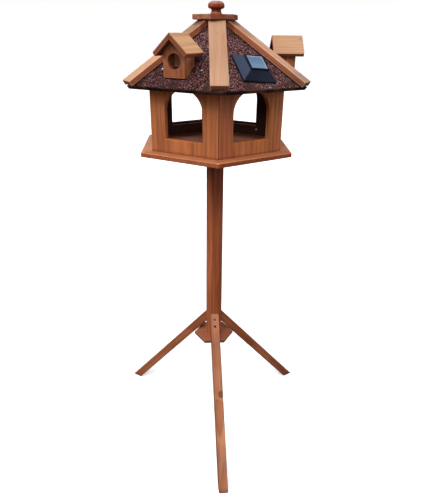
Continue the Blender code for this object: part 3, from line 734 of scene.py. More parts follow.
def rounded_piece(node, name, ease, material, body=HOUSE, holes=()):
    """A copy of a node with its edges rounded to a radius, in place of the node."""
    shape = merged_copy(node)
    sharp = [edge for edge in shape.edges if edge.is_manifold and edge.calc_face_angle() > ROUND_OVER]
    bmesh.ops.bevel(
        shape, geom=sharp, offset=ease, offset_type="OFFSET", segments=EDGE_STEPS, profile=0.5,
        affect="EDGES", clamp_overlap=True,
    )
    mesh = bpy.data.meshes.new(name)
    shape.to_mesh(mesh)
    shape.free()
    piece = bpy.data.objects.new(name, mesh)
    bpy.context.scene.collection.objects.link(piece)
    mesh.materials.append(material)
    drill(piece, holes)
    piece.data.shade_smooth()
    piece.data.set_sharp_from_angle(angle=SHARP_OVER)
    flat = piece.modifiers.new("flat_faces", "WEIGHTED_NORMAL")
    flat.keep_sharp = True
    settle(piece)
    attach(piece, body)
    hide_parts(node)
    return piece


post_shape = merged_copy("post")
print("post corners:", len(corners_of("post")), "loose,", len(post_shape.verts), "merged")
post_shape.free()

# %% [markdown]
# The house has six sides, so most places are an angle away from the front corner, seen from above.
# Two short words turn such an angle into directions: outward, and sideways to the right.

# %% Directions round the house
UP = Vector((0, 0, 1))
SIXTH = radians(60)


def outward(azimuth):
    """The level direction at an azimuth counted from the front corner."""
    return Vector((sin(azimuth), -cos(azimuth), 0))


def sideways(azimuth):
    """The level direction to the right of someone who looks at that azimuth's face."""
    return Vector((cos(azimuth), sin(azimuth), 0))


print("the first wall faces", tuple(round(v, 2) for v in outward(SIXTH / 2)))

# %% [markdown]
# The house is six mitred walls. Their grain stands upright, so the dark stripes run down the walls,
# and each wall gets its own piece of tree. Their feet are darker along the floor, and painted shade
# under the eaves darkens their tops. The sills matter most to the eye: each has painted highlights on
# its outer arris and along its inside, and the two back sills have painted shade on their tops. The
# walls stand on the floor, so heights are counted from its top.

# %% Walls
floor_low, floor_high = (Vector(corner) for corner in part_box("floor_board"))
WALL_FOOT = floor_high.z
WALL_FACE = reach_of("wall_1", outward(SIXTH / 2))[1]
WALL_THICK = 0.013
SILL = WALL_FOOT + 0.036
WINDOW_HALF = 0.053
FOOT_DARKER, EAVE_SHADE = (0.62, 0.56, 0.52), (0.55, 0.50, 0.48)
SILL_LIGHT, SILL_HIGHLIGHT, SILL_SHADE = (5.5, 9.0, 11.0), (1.15, 1.10, 1.02), (0.20, 0.16, 0.14)
FRONT_RIGHT, BACK_WALLS = 0, (2, 3)


def on_sill(azimuth, low, high):
    """A mask that is 1 between two heights, counted from the sill of the wall at that azimuth."""
    wide = band(sideways(azimuth), -WINDOW_HALF, WINDOW_HALF, 0.0010)
    return band(UP, SILL + low, SILL + high, 0.0002) + wide


for index in range(6):
    node = "wall_%d" % (index + 1)
    azimuth = SIXTH * (index + 0.5)
    facing = outward(azimuth)
    finish = board_material(node, "wall", UP, facing)
    tint_where(finish, FOOT_DARKER, ramp(UP, WALL_FOOT + 0.009, WALL_FOOT + 0.001))
    tint_where(finish, EAVE_SHADE, ramp(UP, WALL_FOOT + 0.140, WALL_FOOT + 0.184))
    indoors = ramp(facing, WALL_FACE - 0.0105, WALL_FACE - 0.0115)
    tint_where(finish, SILL_LIGHT, indoors + on_sill(azimuth, -0.0074, -0.0050))
    outdoors = ramp(facing, WALL_FACE - 0.0020, WALL_FACE - 0.0010)
    tint_where(finish, SILL_HIGHLIGHT, outdoors + on_sill(azimuth, -0.0030, -0.0003))
    if index in BACK_WALLS:
        cut_face = ramp(facing, WALL_FACE, WALL_FACE - 0.0015)
        tint_where(finish, SILL_SHADE, cut_face + on_sill(azimuth, -0.0048, 0.0006))
    if index == FRONT_RIGHT:
        # Darker to the left, painted shade close under the eave, and darker on the mitre line
        tint_where(finish, (0.88, 0.80, 0.94), ramp(sideways(azimuth), -0.040, -0.062))
        tint_where(finish, (0.58, 0.60, 0.66), ramp(UP, WALL_FOOT + 0.164, WALL_FOOT + 0.178))
        tint_where(finish, (0.62, 0.44, 0.34), ramp(sideways(azimuth), -0.0914, -0.0930))
    rounded_piece(node, node + "_board", EASES["wall"], finish)
print("walls stand on", round(WALL_FOOT, 5), "and face out at", round(WALL_FACE, 5))

# %% [markdown]
# The floor is one wide six-sided board. Inside the walls it has kept its red stain, deepened by painted
# shade. Outside, its top is paler, partly bleached and partly a painted sheen, and its top edge is
# rubbed pale with a painted highlight. The three sides that show most get tints of their own, one for
# the strip on top and one for the rim: lighter and bluer on the left, darker and redder at the front
# right, and a little darker and redder at the front left.

# %% Floor board
FLOOR_FLAT = reach_of("floor_board", outward(SIXTH / 2))[1]
POST_SCREWS_OUT, WALL_SCREWS_SIDE = 0.011, 0.055
FLOOR_HOLE = (0.0040, 0.004)
INDOOR_RED_AND_SHADE, ARRIS_RUB_AND_HIGHLIGHT = (0.90, 0.62, 0.50), (1.3, 1.16, 0.90)
STRIP_HALF, STRIP_FADE = 0.104, 0.012
floor_screws = [(outward(SIXTH * 2 * index) * POST_SCREWS_OUT + UP * floor_high.z, UP) for index in range(3)]
for index in range(6):
    azimuth = SIXTH * (index + 0.5)
    under_wall = outward(azimuth) * (WALL_FACE - WALL_THICK / 2) + UP * floor_low.z
    for side in (-WALL_SCREWS_SIDE, WALL_SCREWS_SIDE):
        floor_screws.append((under_wall + sideways(azimuth) * side, -UP))

floor_finish = board_material("floor_board", "floor", (1, 0.06, 0), UP)
tint_where(floor_finish, INDOOR_RED_AND_SHADE, within(WALL_FACE, 0.004))
for index in range(6):
    arris = ramp(outward(SIXTH * (index + 0.5)), FLOOR_FLAT - 0.0050, FLOOR_FLAT - 0.0020)
    arris += ramp(UP, floor_high.z - 0.0022, floor_high.z - 0.0010)
    tint_where(floor_finish, ARRIS_RUB_AND_HIGHLIGHT, arris)
# For each side that shows: the tint of the strip on top, and that of the rim
FLOOR_TINTS = {
    0: ((0.86, 0.76, 0.68), (0.72, 0.50, 0.42)),
    4: ((1.20, 1.30, 1.46), (1.0, 1.15, 1.3)),
    5: ((0.92, 0.84, 0.74), (1.02, 0.88, 0.80)),
}
for index, (top_tint, rim_tint) in FLOOR_TINTS.items():
    azimuth = SIXTH * (index + 0.5)
    strip = ramp(outward(azimuth), WALL_FACE - 0.001, WALL_FACE + 0.001)
    strip += band(sideways(azimuth), -STRIP_HALF, STRIP_HALF, STRIP_FADE)
    tint_where(floor_finish, top_tint, strip + ramp(UP, floor_high.z - 0.0012, floor_high.z - 0.0004))
    tint_where(floor_finish, rim_tint, strip + ramp(UP, floor_high.z - 0.0016, floor_high.z - 0.0026))
floor_holes = [(*screw, *FLOOR_HOLE) for screw in floor_screws]
rounded_piece("floor_board", "floor_plank", EASES["floor"], floor_finish, holes=floor_holes)
print("floor flats at", round(FLOOR_FLAT, 5), "with", len(floor_screws), "screws")

# %% [markdown]
# The post is one six-sided bar, paler where the light reaches it and dark in the shadow of the house.
# At its foot sits a thin hub plate, which hides the joint of the legs from below. Its upper face is
# lifted by a millimetre, because the legs bite into it there and slivers of light would show.

# %% Post and hub plate
POST_TURN = radians(1.0)
RIGHT = (1, 0, 0)
post_finish = board_material("post", "post", UP, outward(POST_TURN))
for tint, along_x, along_z in (
    ((1.30, 1.46, 1.58), (0.004, -0.006), (0.86, 0.70)),
    ((0.72, 0.68, 0.68), (0.002, -0.004), (0.83, 0.90)),
    ((0.62, 0.58, 0.62), (0.000, 0.008), (0.72, 0.90)),
):
    tint_where(post_finish, tint, ramp(RIGHT, *along_x) + ramp(UP, *along_z))
rounded_piece("post", "post_bar", EASES["post"], post_finish)

hub_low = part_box("hub_plate")[0][2]
HUB_HALF, HUB_SWELL = 0.00325, 0.0012
HUB_HOLE = (0.0046, 0.004)
RIM_SHADE = (0.50, 0.42, 0.40)
hub_screw = (UP * hub_low, -UP)
hub_finish = board_material("hub_plate", "hub", sideways(POST_TURN), UP)
tint_where(hub_finish, RIM_SHADE, ramp(UP, hub_low + 0.0042, hub_low + 0.0022))
hub_holes = [(*hub_screw, *HUB_HOLE)]
hub_disc = rounded_piece("hub_plate", "hub_disc", EASES["hub"], hub_finish, holes=hub_holes)
points = points_of(hub_disc.data)
points[:, 2] += HUB_SWELL * (points[:, 2] > hub_low + HUB_HALF)
hub_disc.data.vertices.foreach_set("co", points.astype(np.float32).ravel())
hub_disc.data.update()
print("hub plate's under face at", round(hub_low, 4))

# %% [markdown]
# The three legs are square bars that lean against the post, each held by two screws sunk in drilled
# holes. Their colour changes along their length, and they are darker at their feet. On two of them the
# arris furthest from us stands out: painted shade on the right leg, painted light on the left one.

# %% Legs
LEG_SLOPE = radians(50.5)
LEG_AZIMUTHS = {"front": radians(3.4), "right": radians(120.8), "left": radians(237.1)}
LEG_HOLE = (0.0042, 0.006)
BAND_FADE = 0.020
LEG_FOOT_DARKER = (0.66, 0.64, 0.64)
# How far below the leg's upper end each screw sits, how deep it is sunk, and what it is made of
# The lower screw's dark finish is partly painted shade for its deep hole
LEG_SCREWS = ((0.020, 0.0004, BROWN_STEEL), (0.042, 0.0042, DULL_STEEL))
# Tints between two heights above the ground
LEG_TINTS = {
    "front": [
        ((1.14, 1.20, 1.18), 0.370, 0.420), ((0.88, 0.84, 0.78), 0.285, 0.330),
        ((1.22, 1.32, 1.26), 0.115, 0.205), ((0.86, 0.94, 1.0), 0.050, 0.075),
    ],
    "left": [((1.32, 1.54, 1.72), -0.1, 0.295)],
    "right": [((1.22, 1.38, 1.75), 0.125, 0.205)],
}
# The tint of an arris, and where it starts and is full, to the side of the leg's middle
LEG_ARRISES = {
    "right": ((0.50, 0.42, 0.40), 0.0100, 0.0125), "left": ((1.10, 1.45, 1.75), -0.0100, -0.0125),
}
leg_screws = []
for name, azimuth in LEG_AZIMUTHS.items():
    node = "leg_" + name
    along = UP * sin(LEG_SLOPE) - outward(azimuth) * cos(LEG_SLOPE)
    facing = UP * cos(LEG_SLOPE) + outward(azimuth) * sin(LEG_SLOPE)
    axes, half = board_axes(node, along, facing)
    holes = []
    for down, sunk, steel in LEG_SCREWS:
        place = axes @ Vector((0, half.y, half.z - down))
        holes.append((place, facing, *LEG_HOLE))
        leg_screws.append((place - facing * sunk, facing, steel))
    finish = board_material(node, "leg", along, facing)
    for tint, low, high in LEG_TINTS[name]:
        tint_where(finish, tint, band(UP, low, high, BAND_FADE))
    tint_where(finish, LEG_FOOT_DARKER, ramp(UP, 0.013, 0.001))
    if name in LEG_ARRISES:
        tint, low, high = LEG_ARRISES[name]
        top = reach_of(node, facing)[1]
        arris = ramp(sideways(azimuth), low, high) + ramp(facing, top - 0.0040, top - 0.0020)
        tint_where(finish, tint, arris)
    rounded_piece(node, node + "_bar", EASES["leg"], finish, holes=holes)
print("boards so far", board_count)

# %% [markdown]
# On the roof, a light batten covers each hip. The front one has no painted shade, and the others carry
# painted shadow under the cap. The two beside the front one are tinted once more as the light falls on
# them: painted light along the right one's top and near the left one's tip, and painted shade at the
# right one's tip.

# %% Battens over the hips
ROOF_SLOPE = radians(36.4)
HIP_SLOPE = atan(tan(ROOF_SLOPE) * cos(radians(30)))
FRONT_BATTEN, LEFT_BATTEN, RIGHT_BATTEN = 0, 5, 1
TOP_SHADE_NEAR_CAP, SHADOW_UNDER_CAP = (0.76, 0.74, 0.72), (0.55, 0.46, 0.42)
RIGHT_TOP_LIGHT, RIGHT_TIP_SHADE, LEFT_TIP_LIGHT = (1.25, 1.22, 1.30), (0.74, 0.82, 0.94), (1.20, 1.19, 1.19)
for index in range(6):
    node = "hip_batten_%d" % (index + 1)
    out = outward(SIXTH * index)
    along = out * cos(HIP_SLOPE) - UP * sin(HIP_SLOPE)
    facing = out * sin(HIP_SLOPE) + UP * cos(HIP_SLOPE)
    finish = board_material(node, "batten", along, facing)
    top = reach_of(node, facing)[1]
    on_top = ramp(facing, top - 0.0014, top - 0.0008)
    if index == RIGHT_BATTEN:
        tint_where(finish, RIGHT_TOP_LIGHT, on_top)
    if index != FRONT_BATTEN:
        tint_where(finish, TOP_SHADE_NEAR_CAP, within(0.115, 0.030) + on_top)
        tint_where(finish, SHADOW_UNDER_CAP, within(0.067, 0.010))
    if index == LEFT_BATTEN:
        tint_where(finish, LEFT_TIP_LIGHT, ramp(out, 0.130, 0.155) + on_top)
    if index == RIGHT_BATTEN:
        tint_where(finish, RIGHT_TIP_SHADE, ramp(out, 0.208, 0.228))
    rounded_piece(node, "batten_%d" % (index + 1), EASES["batten"], finish)
print("the hips fall by", round(HIP_SLOPE * 180 / pi, 2), "degrees")

# %% [markdown]
# The cap is a small six-sided board, a little askew, that closes the battens' joint. Under it hides a
# block that the hips meet at, and under the felt lie six raw boards. These keep their own meshes: no
# eye rests on their edges, so only their material changes.

# %% Cap, block and roof boards
CAP_TURN = radians(-13.5)
cap_finish = board_material("cap_plate", "cap", sideways(CAP_TURN), UP)
# Across the cap: painted light on the left, painted shade from below the knob to the right, and a lighter,
# bluer right end
for tint, low, high in (
    ((1.10, 1.18, 1.16), 0.0, -0.030),
    ((0.73, 0.61, 0.53), -0.017, -0.012),
    ((1.27, 1.40, 1.80), 0.015, 0.035),
):
    tint_where(cap_finish, tint, ramp(RIGHT, low, high))
rounded_piece("cap_plate", "cap_board", EASES["cap"], cap_finish)


def dress(node, material):
    """Give a node that keeps its own mesh a new finish."""
    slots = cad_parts[node].material_slots
    for slot in slots:
        slot.material = material
    if not slots:
        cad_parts[node].data.materials.append(material)


def roof_facing(azimuth):
    """The direction that the roof's surface faces at an azimuth."""
    return outward(azimuth) * sin(ROOF_SLOPE) + UP * cos(ROOF_SLOPE)


def downhill(azimuth):
    """The direction straight down the roof's slope at an azimuth."""
    return outward(azimuth) * cos(ROOF_SLOPE) - UP * sin(ROOF_SLOPE)


dress("king_block", board_material("king_block", "raw", UP, (0, -1, 0)))
for index in range(6):
    node = "roof_panel_%d" % (index + 1)
    azimuth = SIXTH * (index + 0.5)
    dress(node, board_material(node, "raw", sideways(azimuth), roof_facing(azimuth)))
print("boards so far", board_count)

# %% [markdown]
# The knob is turned on a lathe: a flared foot, a narrow neck and a mushroom head. Its surface is that
# profile carried round the axis, in five stretches: the foot's edge, the flare, two quarter rounds up
# to the widest place, and the dome. Below its widest place it is stained a deeper red, and its other
# tints are painted light: a painted sheen pales the top, painted shade darkens the underside of the
# head, the neck and the foot's lower edge, and a painted highlight lies on the flare.

# %% Turned knob
# Radii in metres, and heights as shares of the whole knob. The dome's power makes it fuller than a ball
FINIAL_SHIFT = -0.0007
KNOB, NECK, FOOT, UNDER, FOOT_CHAMFER = 0.0205, 0.0119, 0.0156, 0.0164, 0.0006
FOOT_UP, NECK_UP, UNDER_UP, KNOB_UP = 0.02, 0.29, 0.42, 0.62
DOME_POWER, DOME_END = 0.8, 0.985
knob_low, knob_high = (corner[2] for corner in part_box("finial"))
knob_height = knob_high - knob_low
quarter = np.linspace(0, pi / 2, 14)[1:]
flare = np.linspace(0, 1, 14)
radius = np.concatenate([
    [FOOT - FOOT_CHAMFER],
    NECK + (FOOT - NECK) * (1 - flare) ** 2.0,
    NECK + (UNDER - NECK) * (1 - np.cos(quarter)),
    UNDER + (KNOB - UNDER) * np.sin(quarter),
    KNOB * np.cos(quarter * DOME_END) ** DOME_POWER,
])
height = np.concatenate([
    [0.0],
    FOOT_UP + (NECK_UP - FOOT_UP) * flare,
    NECK_UP + (UNDER_UP - NECK_UP) * np.sin(quarter),
    UNDER_UP + (KNOB_UP - UNDER_UP) * (1 - np.cos(quarter)),
    KNOB_UP + (1 - KNOB_UP) * np.sin(quarter) ** DOME_POWER,
])
points = round_points(radius, knob_low + height * knob_height) + np.array((FINIAL_SHIFT, 0, 0))
knob_finish = board_material("finial", "knob", UP, (0, -1, 0))
# Tints by height: deeper red stain, painted sheen on top, painted shade under the head, at the neck and the
# foot's edge, and a painted highlight on the flare
for tint, low, high in (
    ((0.90, 0.68, 0.52), 0.95, 0.60), ((1.3, 3.3, 5.5), 0.70, 0.88), ((0.74, 0.64, 0.70), 0.60, 0.52),
    ((0.72, 0.78, 0.80), 0.33, 0.27), ((2.9, 5.2, 7.0), 0.20, 0.13), ((0.55, 0.42, 0.40), 0.12, 0.05),
):
    tint_where(knob_finish, tint, ramp(UP, knob_low + low * knob_height, knob_low + high * knob_height))
knob = skin("turned_knob", points, knob_finish)
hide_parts("finial")
print("knob", len(radius), "rows, height", round(knob_height, 4))

# %% [markdown]
# The small houses are nailed up from thin boards. Their walls have upright grain, and their roof
# boards run along the ridge, so their sawn ends show at the gable and are stained darker. Painted
# daylight falls through the round hole onto the back's inner face, and the front is darker and more
# orange low down. The roof of the house on the right is a little duller all over.

# %% Small houses
MINI_AZIMUTHS = {"left": radians(-30), "right": radians(90), "back": radians(-150)}
MINI_SLOPE = radians(42.3)
DAYLIGHT, FRONT_LOWER_TINT, DULL_ROOF = (2.0, 2.4, 3.6), (0.88, 0.78, 0.66), (0.87, 0.86, 0.90)
EVERYWHERE = within(1.0, 0.1)
for house, azimuth in MINI_AZIMUTHS.items():
    forward, to_right = outward(azimuth), sideways(azimuth)
    for part, facing, wood in (
        ("front", forward, "mini"), ("back", -forward, "mini"),
        ("cheek_left", -to_right, "mini_cheek"), ("cheek_right", to_right, "mini_cheek"),
    ):
        node = "mini_%s_%s" % (house, part)
        finish = board_material(node, wood, UP, facing)
        if part == "back":
            inner = reach_of(node, forward)[1]
            tint_where(finish, DAYLIGHT, ramp(forward, inner - 0.002, inner - 0.001))
        if part == "front":
            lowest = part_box(node)[0][2]
            tint_where(finish, FRONT_LOWER_TINT, ramp(UP, lowest + 0.030, lowest + 0.015))
        rounded_piece(node, node + "_board", EASES["mini"], finish)
    for part, side in (("roof_left", -1), ("roof_right", 1)):
        node = "mini_%s_%s" % (house, part)
        facing = UP * cos(MINI_SLOPE) + to_right * side * sin(MINI_SLOPE)
        finish = board_material(node, "mini_roof", forward, facing)
        if house == "right":
            tint_where(finish, DULL_ROOF, EVERYWHERE)
        rounded_piece(node, node + "_board", EASES["mini"], finish)
print("boards in all", board_count)

# %% [markdown]
# Screws and nails hold it together: two in each leg, some through the floor, and two clout nails in
# the felt beside each small house. A head is a shallow dome carried round its axis, and the cross of
# a screw is pressed into that same grid of points, so no cutting is needed.

# %% Screws and nails
HEAD_SIDES, HEAD_ROWS = 48, 20
# A screw's cross, in shares of its radius: its half width and its reach, and how soft each of them ends
CROSS_HALF, CROSS_HALF_SOFT, CROSS_REACH, CROSS_REACH_SOFT = 0.20, 0.10, 0.66, 0.14


def soft_step(value):
    """0 below 0, 1 above 1, smooth between: 3t^2 - 2t^3."""
    value = np.clip(value, 0, 1)
    return value * value * (3 - 2 * value)


def head(name, place, normal, material, radius, thick, rise, cross, turn=0.0):
    """A head whose top is rise * (1 - (r/R)^2), with a cross of a given depth pressed in."""
    inward = np.linspace(1, 0.04, HEAD_ROWS)
    radii = radius * np.concatenate([[0.05, 0.8, 1.0], inward])
    heights = np.concatenate([[-thick, -thick, -thick * 0.7], rise * (1 - inward ** 2)])
    points = round_points(radii, heights, HEAD_SIDES)
    x = points[3:, :, 0] * cos(turn) + points[3:, :, 1] * sin(turn)
    y = points[3:, :, 1] * cos(turn) - points[3:, :, 0] * sin(turn)
    narrow = np.minimum(np.abs(x), np.abs(y)) / radius
    wide = soft_step((CROSS_HALF - narrow) / CROSS_HALF_SOFT)
    long = soft_step((CROSS_REACH - np.hypot(x, y) / radius) / CROSS_REACH_SOFT)
    points[3:, :, 2] -= cross * wide * long
    return skin(name, standing(points, place, normal), material)


LEG_HEAD = dict(radius=0.0037, thick=0.0012, rise=0.0005, cross=0.0011)
FLOOR_HEAD = dict(radius=0.0035, thick=0.0012, rise=0.0004, cross=0.0010)
HUB_HEAD = dict(radius=0.0042, thick=0.0014, rise=0.0005, cross=0.0012)
WALL_HEAD = dict(radius=0.0030, thick=0.0008, rise=0.0015, cross=0.0006)
NAIL_HEAD = dict(radius=0.0026, thick=0.0006, rise=0.0009, cross=0.0)
SUNK = 0.0008
# Where the two nails by each small house sit: to its side, and down the slope from the roof's top
NAILS = {"left": (-0.0555, 0.2035), "right": (0.0495, 0.2025)}
roof_top = UP * reach_of("roof_felt_1", roof_facing(SIXTH / 2))[1] / cos(ROOF_SLOPE)
for house, azimuth in MINI_AZIMUTHS.items():
    for label, (side, down) in NAILS.items():
        place = roof_top + downhill(azimuth) * down + sideways(azimuth) * side
        head("nail_%s_%s" % (house, label), place, roof_facing(azimuth), STEEL, **NAIL_HEAD)
for number, (place, normal, steel) in enumerate(leg_screws):
    head("leg_screw_%d" % (number + 1), place, normal, steel, **LEG_HEAD, turn=0.5 + number)
for number, (place, normal) in enumerate(floor_screws):
    sunk = place - normal * SUNK
    head("floor_screw_%d" % (number + 1), sunk, normal, DULL_STEEL, **FLOOR_HEAD, turn=0.3 * number)
place, normal = hub_screw
head("hub_screw", place - normal * SUNK, normal, DULL_STEEL, **HUB_HEAD, turn=0.7)

# The small bright screw inside the back wall that shows through the front window, its near-white finish a
# painted glint
behind = radians(150)
place = outward(behind) * (WALL_FACE - WALL_THICK) - sideways(behind) * 0.056 + UP * (floor_high.z + 0.018)
head("wall_screw", place, -outward(behind), PALE_STEEL_GLINT, **WALL_HEAD, turn=0.4)
print("fasteners", len(leg_screws) + len(floor_screws) + 2 * len(MINI_AZIMUTHS) + 2)

# %% [markdown]
# Roofing felt is tar-soaked matting pressed full of crushed slate. From a step away it is a dark
# plum brown that sparkles with pale grains. Cells at two sizes give each grain its own tone, and the
# smaller ones also raise it from the surface.

# %% Felt group
tree, given, result = start_group(
    "slate_felt",
    [("Vector", "Vector", None), ("Edge", "Float", 0.0), ("Eave", "Float", 0.0)],
    [("Color", "Color"), ("Roughness", "Float"), ("Height", "Float")],
)
grit = tree.cells(given["Vector"], 700.0)
clump = tree.cells(given["Vector"], 560.0)
worn = tree.noise(given["Vector"], 22.0, 3.0)
tone = tree.split(grit["Color"])
clump_tone = tree.split(clump["Color"])
slate = tree.mix(tone[0], colour(40, 16, 16), colour(120, 70, 66))
dark_clumps = tree.mix(0.95, slate, colour(10, 2, 3))
slate = tree.mix(tree.rise(clump_tone[0], 0.30, 0.62), dark_clumps, slate)
pale_clumps = tree.math("MULTIPLY", tree.rise(clump_tone[1], 0.76, 0.80), tree.rise(tone[1], 0.1, 0.4))
slate = tree.mix(tree.math("MULTIPLY", pale_clumps, 0.95), slate, colour(172, 134, 136))
slate = tree.mix(tree.math("MULTIPLY", tree.rise(worn, 0.5, 0.8), 0.3), slate, colour(92, 56, 48))
print("slate nodes", len(tree.nodes.nodes))

# %% [markdown]
# Where slate has been washed off, near the eave, the felt is smudged, and at the cut edge the tar lies
# bare. Tar is smoother than slate, so it also lowers the roughness and flattens the grains.

# %% Smudges and tarry edge
smudge = tree.math("MULTIPLY", given["Eave"], tree.rise(worn, 0.50, 0.60))
slate = tree.mix(tree.math("MULTIPLY", smudge, 0.75), slate, colour(58, 38, 34))
tar = tree.rise(tree.math("ADD", given["Edge"], tree.math("MULTIPLY", worn, 0.9)), 0.75, 1.25)
tar_colour = tree.mix(tree.rise(worn, 0.46, 0.60), colour(28, 13, 9), colour(80, 50, 40))
slate = tree.mix(tree.math("MULTIPLY", tar, 0.95), slate, tar_colour)
tar = tree.math("MAXIMUM", tar, smudge)
grains = tree.math("SUBTRACT", 1.0, grit["Distance"], clamp=True)
tree.feed(result["Color"], slate)
tree.feed(result["Roughness"], tree.math("SUBTRACT", 0.95, tree.math("MULTIPLY", tar, 0.25)))
tree.feed(result["Height"], tree.math("MULTIPLY", grains, tree.math("SUBTRACT", 1.0, tar)))
print("slate_felt has", len(tree.nodes.nodes), "nodes")

# %% [markdown]
# The felt keeps its own mesh too. Each panel finds its cut edge and its eave from its own corners, so
# the tar lies in the right place on all six.


# %% Felt panels
def felt_material(node, azimuth):
    """Felt whose tarry edge lies along the eave of the panel at that azimuth."""
    material, tree, shader, place = new_finish("finish_" + node)
    face = reach_of(node, roof_facing(azimuth))[1]
    eave = reach_of(node, downhill(azimuth))[1]
    cut_face = mask_at(tree, place, ramp(roof_facing(azimuth), face - 0.0002, face - 0.0016))
    last_strip = mask_at(tree, place, ramp(downhill(azimuth), eave - 0.0040, eave - 0.0005))
    near_eave = mask_at(tree, place, ramp(downhill(azimuth), eave - 0.045, eave - 0.010))
    values = {"Vector": place, "Edge": tree.math("MAXIMUM", cut_face, last_strip), "Eave": near_eave}
    wear(tree, shader, tree.place("slate_felt", values), shine=0.12, strength=0.7, depth=0.0008)
    return material


LEFT_FELT = 5
LEFT_FELT_LOWER_DARKER = (0.66, 0.60, 0.58)
for index in range(6):
    node = "roof_felt_%d" % (index + 1)
    finish = felt_material(node, SIXTH * (index + 0.5))
    # The front-left panel is darker towards its eave
    if index == LEFT_FELT:
        tint_where(finish, LEFT_FELT_LOWER_DARKER, ramp(UP, 1.205, 1.140))
    dress(node, finish)
print("the felt's top would meet at", round(roof_top.z, 4))

# %% [markdown]
# The solar lamp is a moulded black cap with a blue-grey cell let into its top. Moulded plastic has
# soft edges, and the sky tints its shine blue. Its top and bottom arrises look nearly black. What
# lies inside it keeps its own mesh and gets the plain finish of what it is.

# %% Lamp housing and inner parts
LAMP_AZIMUTH = radians(30)
BLUE_SHINE, DARK_ARRIS = (0.50, 0.68, 1.0, 1.0), (0.25, 0.25, 0.25)
lamp_facing = roof_facing(LAMP_AZIMUTH)
lamp_low, lamp_high = reach_of("solar_housing", lamp_facing)
HOUSING = plain_material("housing_plastic", colour(23, 25, 40), 0.24, shine=0.42)
HOUSING.node_tree.nodes["Principled BSDF"].inputs["Specular Tint"].default_value = BLUE_SHINE
for low, high in ((lamp_high - 0.0022, lamp_high - 0.0010), (lamp_low + 0.0034, lamp_low + 0.0020)):
    tint_where(HOUSING, DARK_ARRIS, ramp(lamp_facing, low, high))
rounded_piece("solar_housing", "lamp_housing", EASES["lamp"], HOUSING)
for node, material in (
    ("solar_base", PLASTIC), ("lamp_switch", PLASTIC), ("lamp_lens", LENS), ("solar_board", BOARD),
    ("solar_battery", TIN),
):
    dress(node, material)
print("lamp housing", round(lamp_high - lamp_low, 4), "m deep")

# %% [markdown]
# The cell is dark silicon under clear resin. Its crystals differ a little in tone, thin silver fingers
# and two wider strips cross it, and light gathers along its rim. All of this is worked out in the
# cell's own axes, because the lamp is set askew on the slope.

# %% Solar cell
LAMP_TURN = radians(-7.7)
STRIP_PITCH, STRIP_WIDTH = 0.0103, 0.0005
FINGER_PITCH, FINGER_WIDTH = 0.0020, 0.00018
turns = ((LAMP_AZIMUTH, "Z"), (ROOF_SLOPE, "X"), (LAMP_TURN, "Z"))
cell_turn = Matrix.Identity(3)
for angle, axis in turns:
    cell_turn = cell_turn @ Matrix.Rotation(angle, 3, axis)
cell_middle = corners_of("solar_cell").mean(axis=0)
cell_half = np.abs((corners_of("solar_cell") - cell_middle) @ np.array(cell_turn)).max(axis=0)
CELL, tree, shader, place = new_finish("solar_cell_face")
on_cell = in_axes(tree, place, Matrix.Translation(cell_middle) @ cell_turn.to_4x4())
u, v = tree.split(on_cell)[:2]


def line_mask(tree, value, pitch, width):
    """1 on thin lines at a pitch, 0 between them."""
    share = tree.math("FRACT", tree.math("DIVIDE", value, pitch))
    away = tree.math("ABSOLUTE", tree.math("SUBTRACT", share, 0.5))
    return tree.rise(away, width / pitch, 0.4 * width / pitch)


strips = line_mask(tree, u, STRIP_PITCH, STRIP_WIDTH)
fingers = line_mask(tree, v, FINGER_PITCH, FINGER_WIDTH)
crystal = tree.split(tree.cells(on_cell, 130.0)["Color"])[0]
rims = [tree.rise(value, far - 0.0034, far - 0.0018) for value, far in zip((u, v), cell_half)]
# The face's pale blue is partly a painted reflection of the sky
face = tree.mix(crystal, colour(86, 114, 146), colour(96, 125, 157))
face = tree.mix(tree.rise(v, 0.012, -0.018), face, colour(110, 138, 165))
face = tree.mix(tree.math("MULTIPLY", fingers, 0.15), face, colour(130, 150, 170))
face = tree.mix(tree.math("MULTIPLY", strips, 0.4), face, colour(140, 156, 172))
face = tree.mix(tree.math("MULTIPLY", tree.math("MAXIMUM", *rims), 0.55), face, colour(178, 200, 212))
tree.feed(shader.inputs["Base Color"], face)
shader.inputs["Roughness"].default_value = 0.35
shader.inputs["Coat Weight"].default_value = 0.6
shader.inputs["Coat Roughness"].default_value = 0.12
dress("solar_cell", CELL)
print("cell half size", [round(float(v), 4) for v in cell_half])

# %% [markdown]
# The birdhouse is shown on plain white, so the floor and the sky are white to the camera, with only
# the object's own shadow on them. To the object itself both are dim, or they would light it from
# below. A Light Path node tells the two kinds of ray apart.

# %% White floor and sky
FLOOR_REACH, FLOOR_DROP = 30.0, 0.0003
PAPER_DIM, PAPER_WHITE = (0.14, 0.13, 0.12, 1.0), (0.9, 0.9, 0.9, 1.0)
SKY_LOW, SKY_HIGH = (0.03, 0.03, 0.03, 1.0), (0.14, 0.15, 0.16, 1.0)
WHITE = (1.0, 1.0, 1.0, 1.0)
floor_mesh = bpy.data.meshes.new("studio_floor")
floor_corners = [(x * FLOOR_REACH, y * FLOOR_REACH, 0) for x, y in ((-1, -1), (1, -1), (1, 1), (-1, 1))]
floor_mesh.from_pydata(floor_corners, [], [(0, 1, 2, 3)])
floor = bpy.data.objects.new("studio_floor", floor_mesh)
bpy.context.scene.collection.objects.link(floor)
floor.location.z = -FLOOR_DROP


def seen_directly(tree):
    """1 for what the camera sees, also through something clear, and 0 for what lights the object."""
    rays = tree.add("ShaderNodeLightPath").outputs
    return tree.math("MAXIMUM", rays["Is Camera Ray"], rays["Is Transmission Ray"])


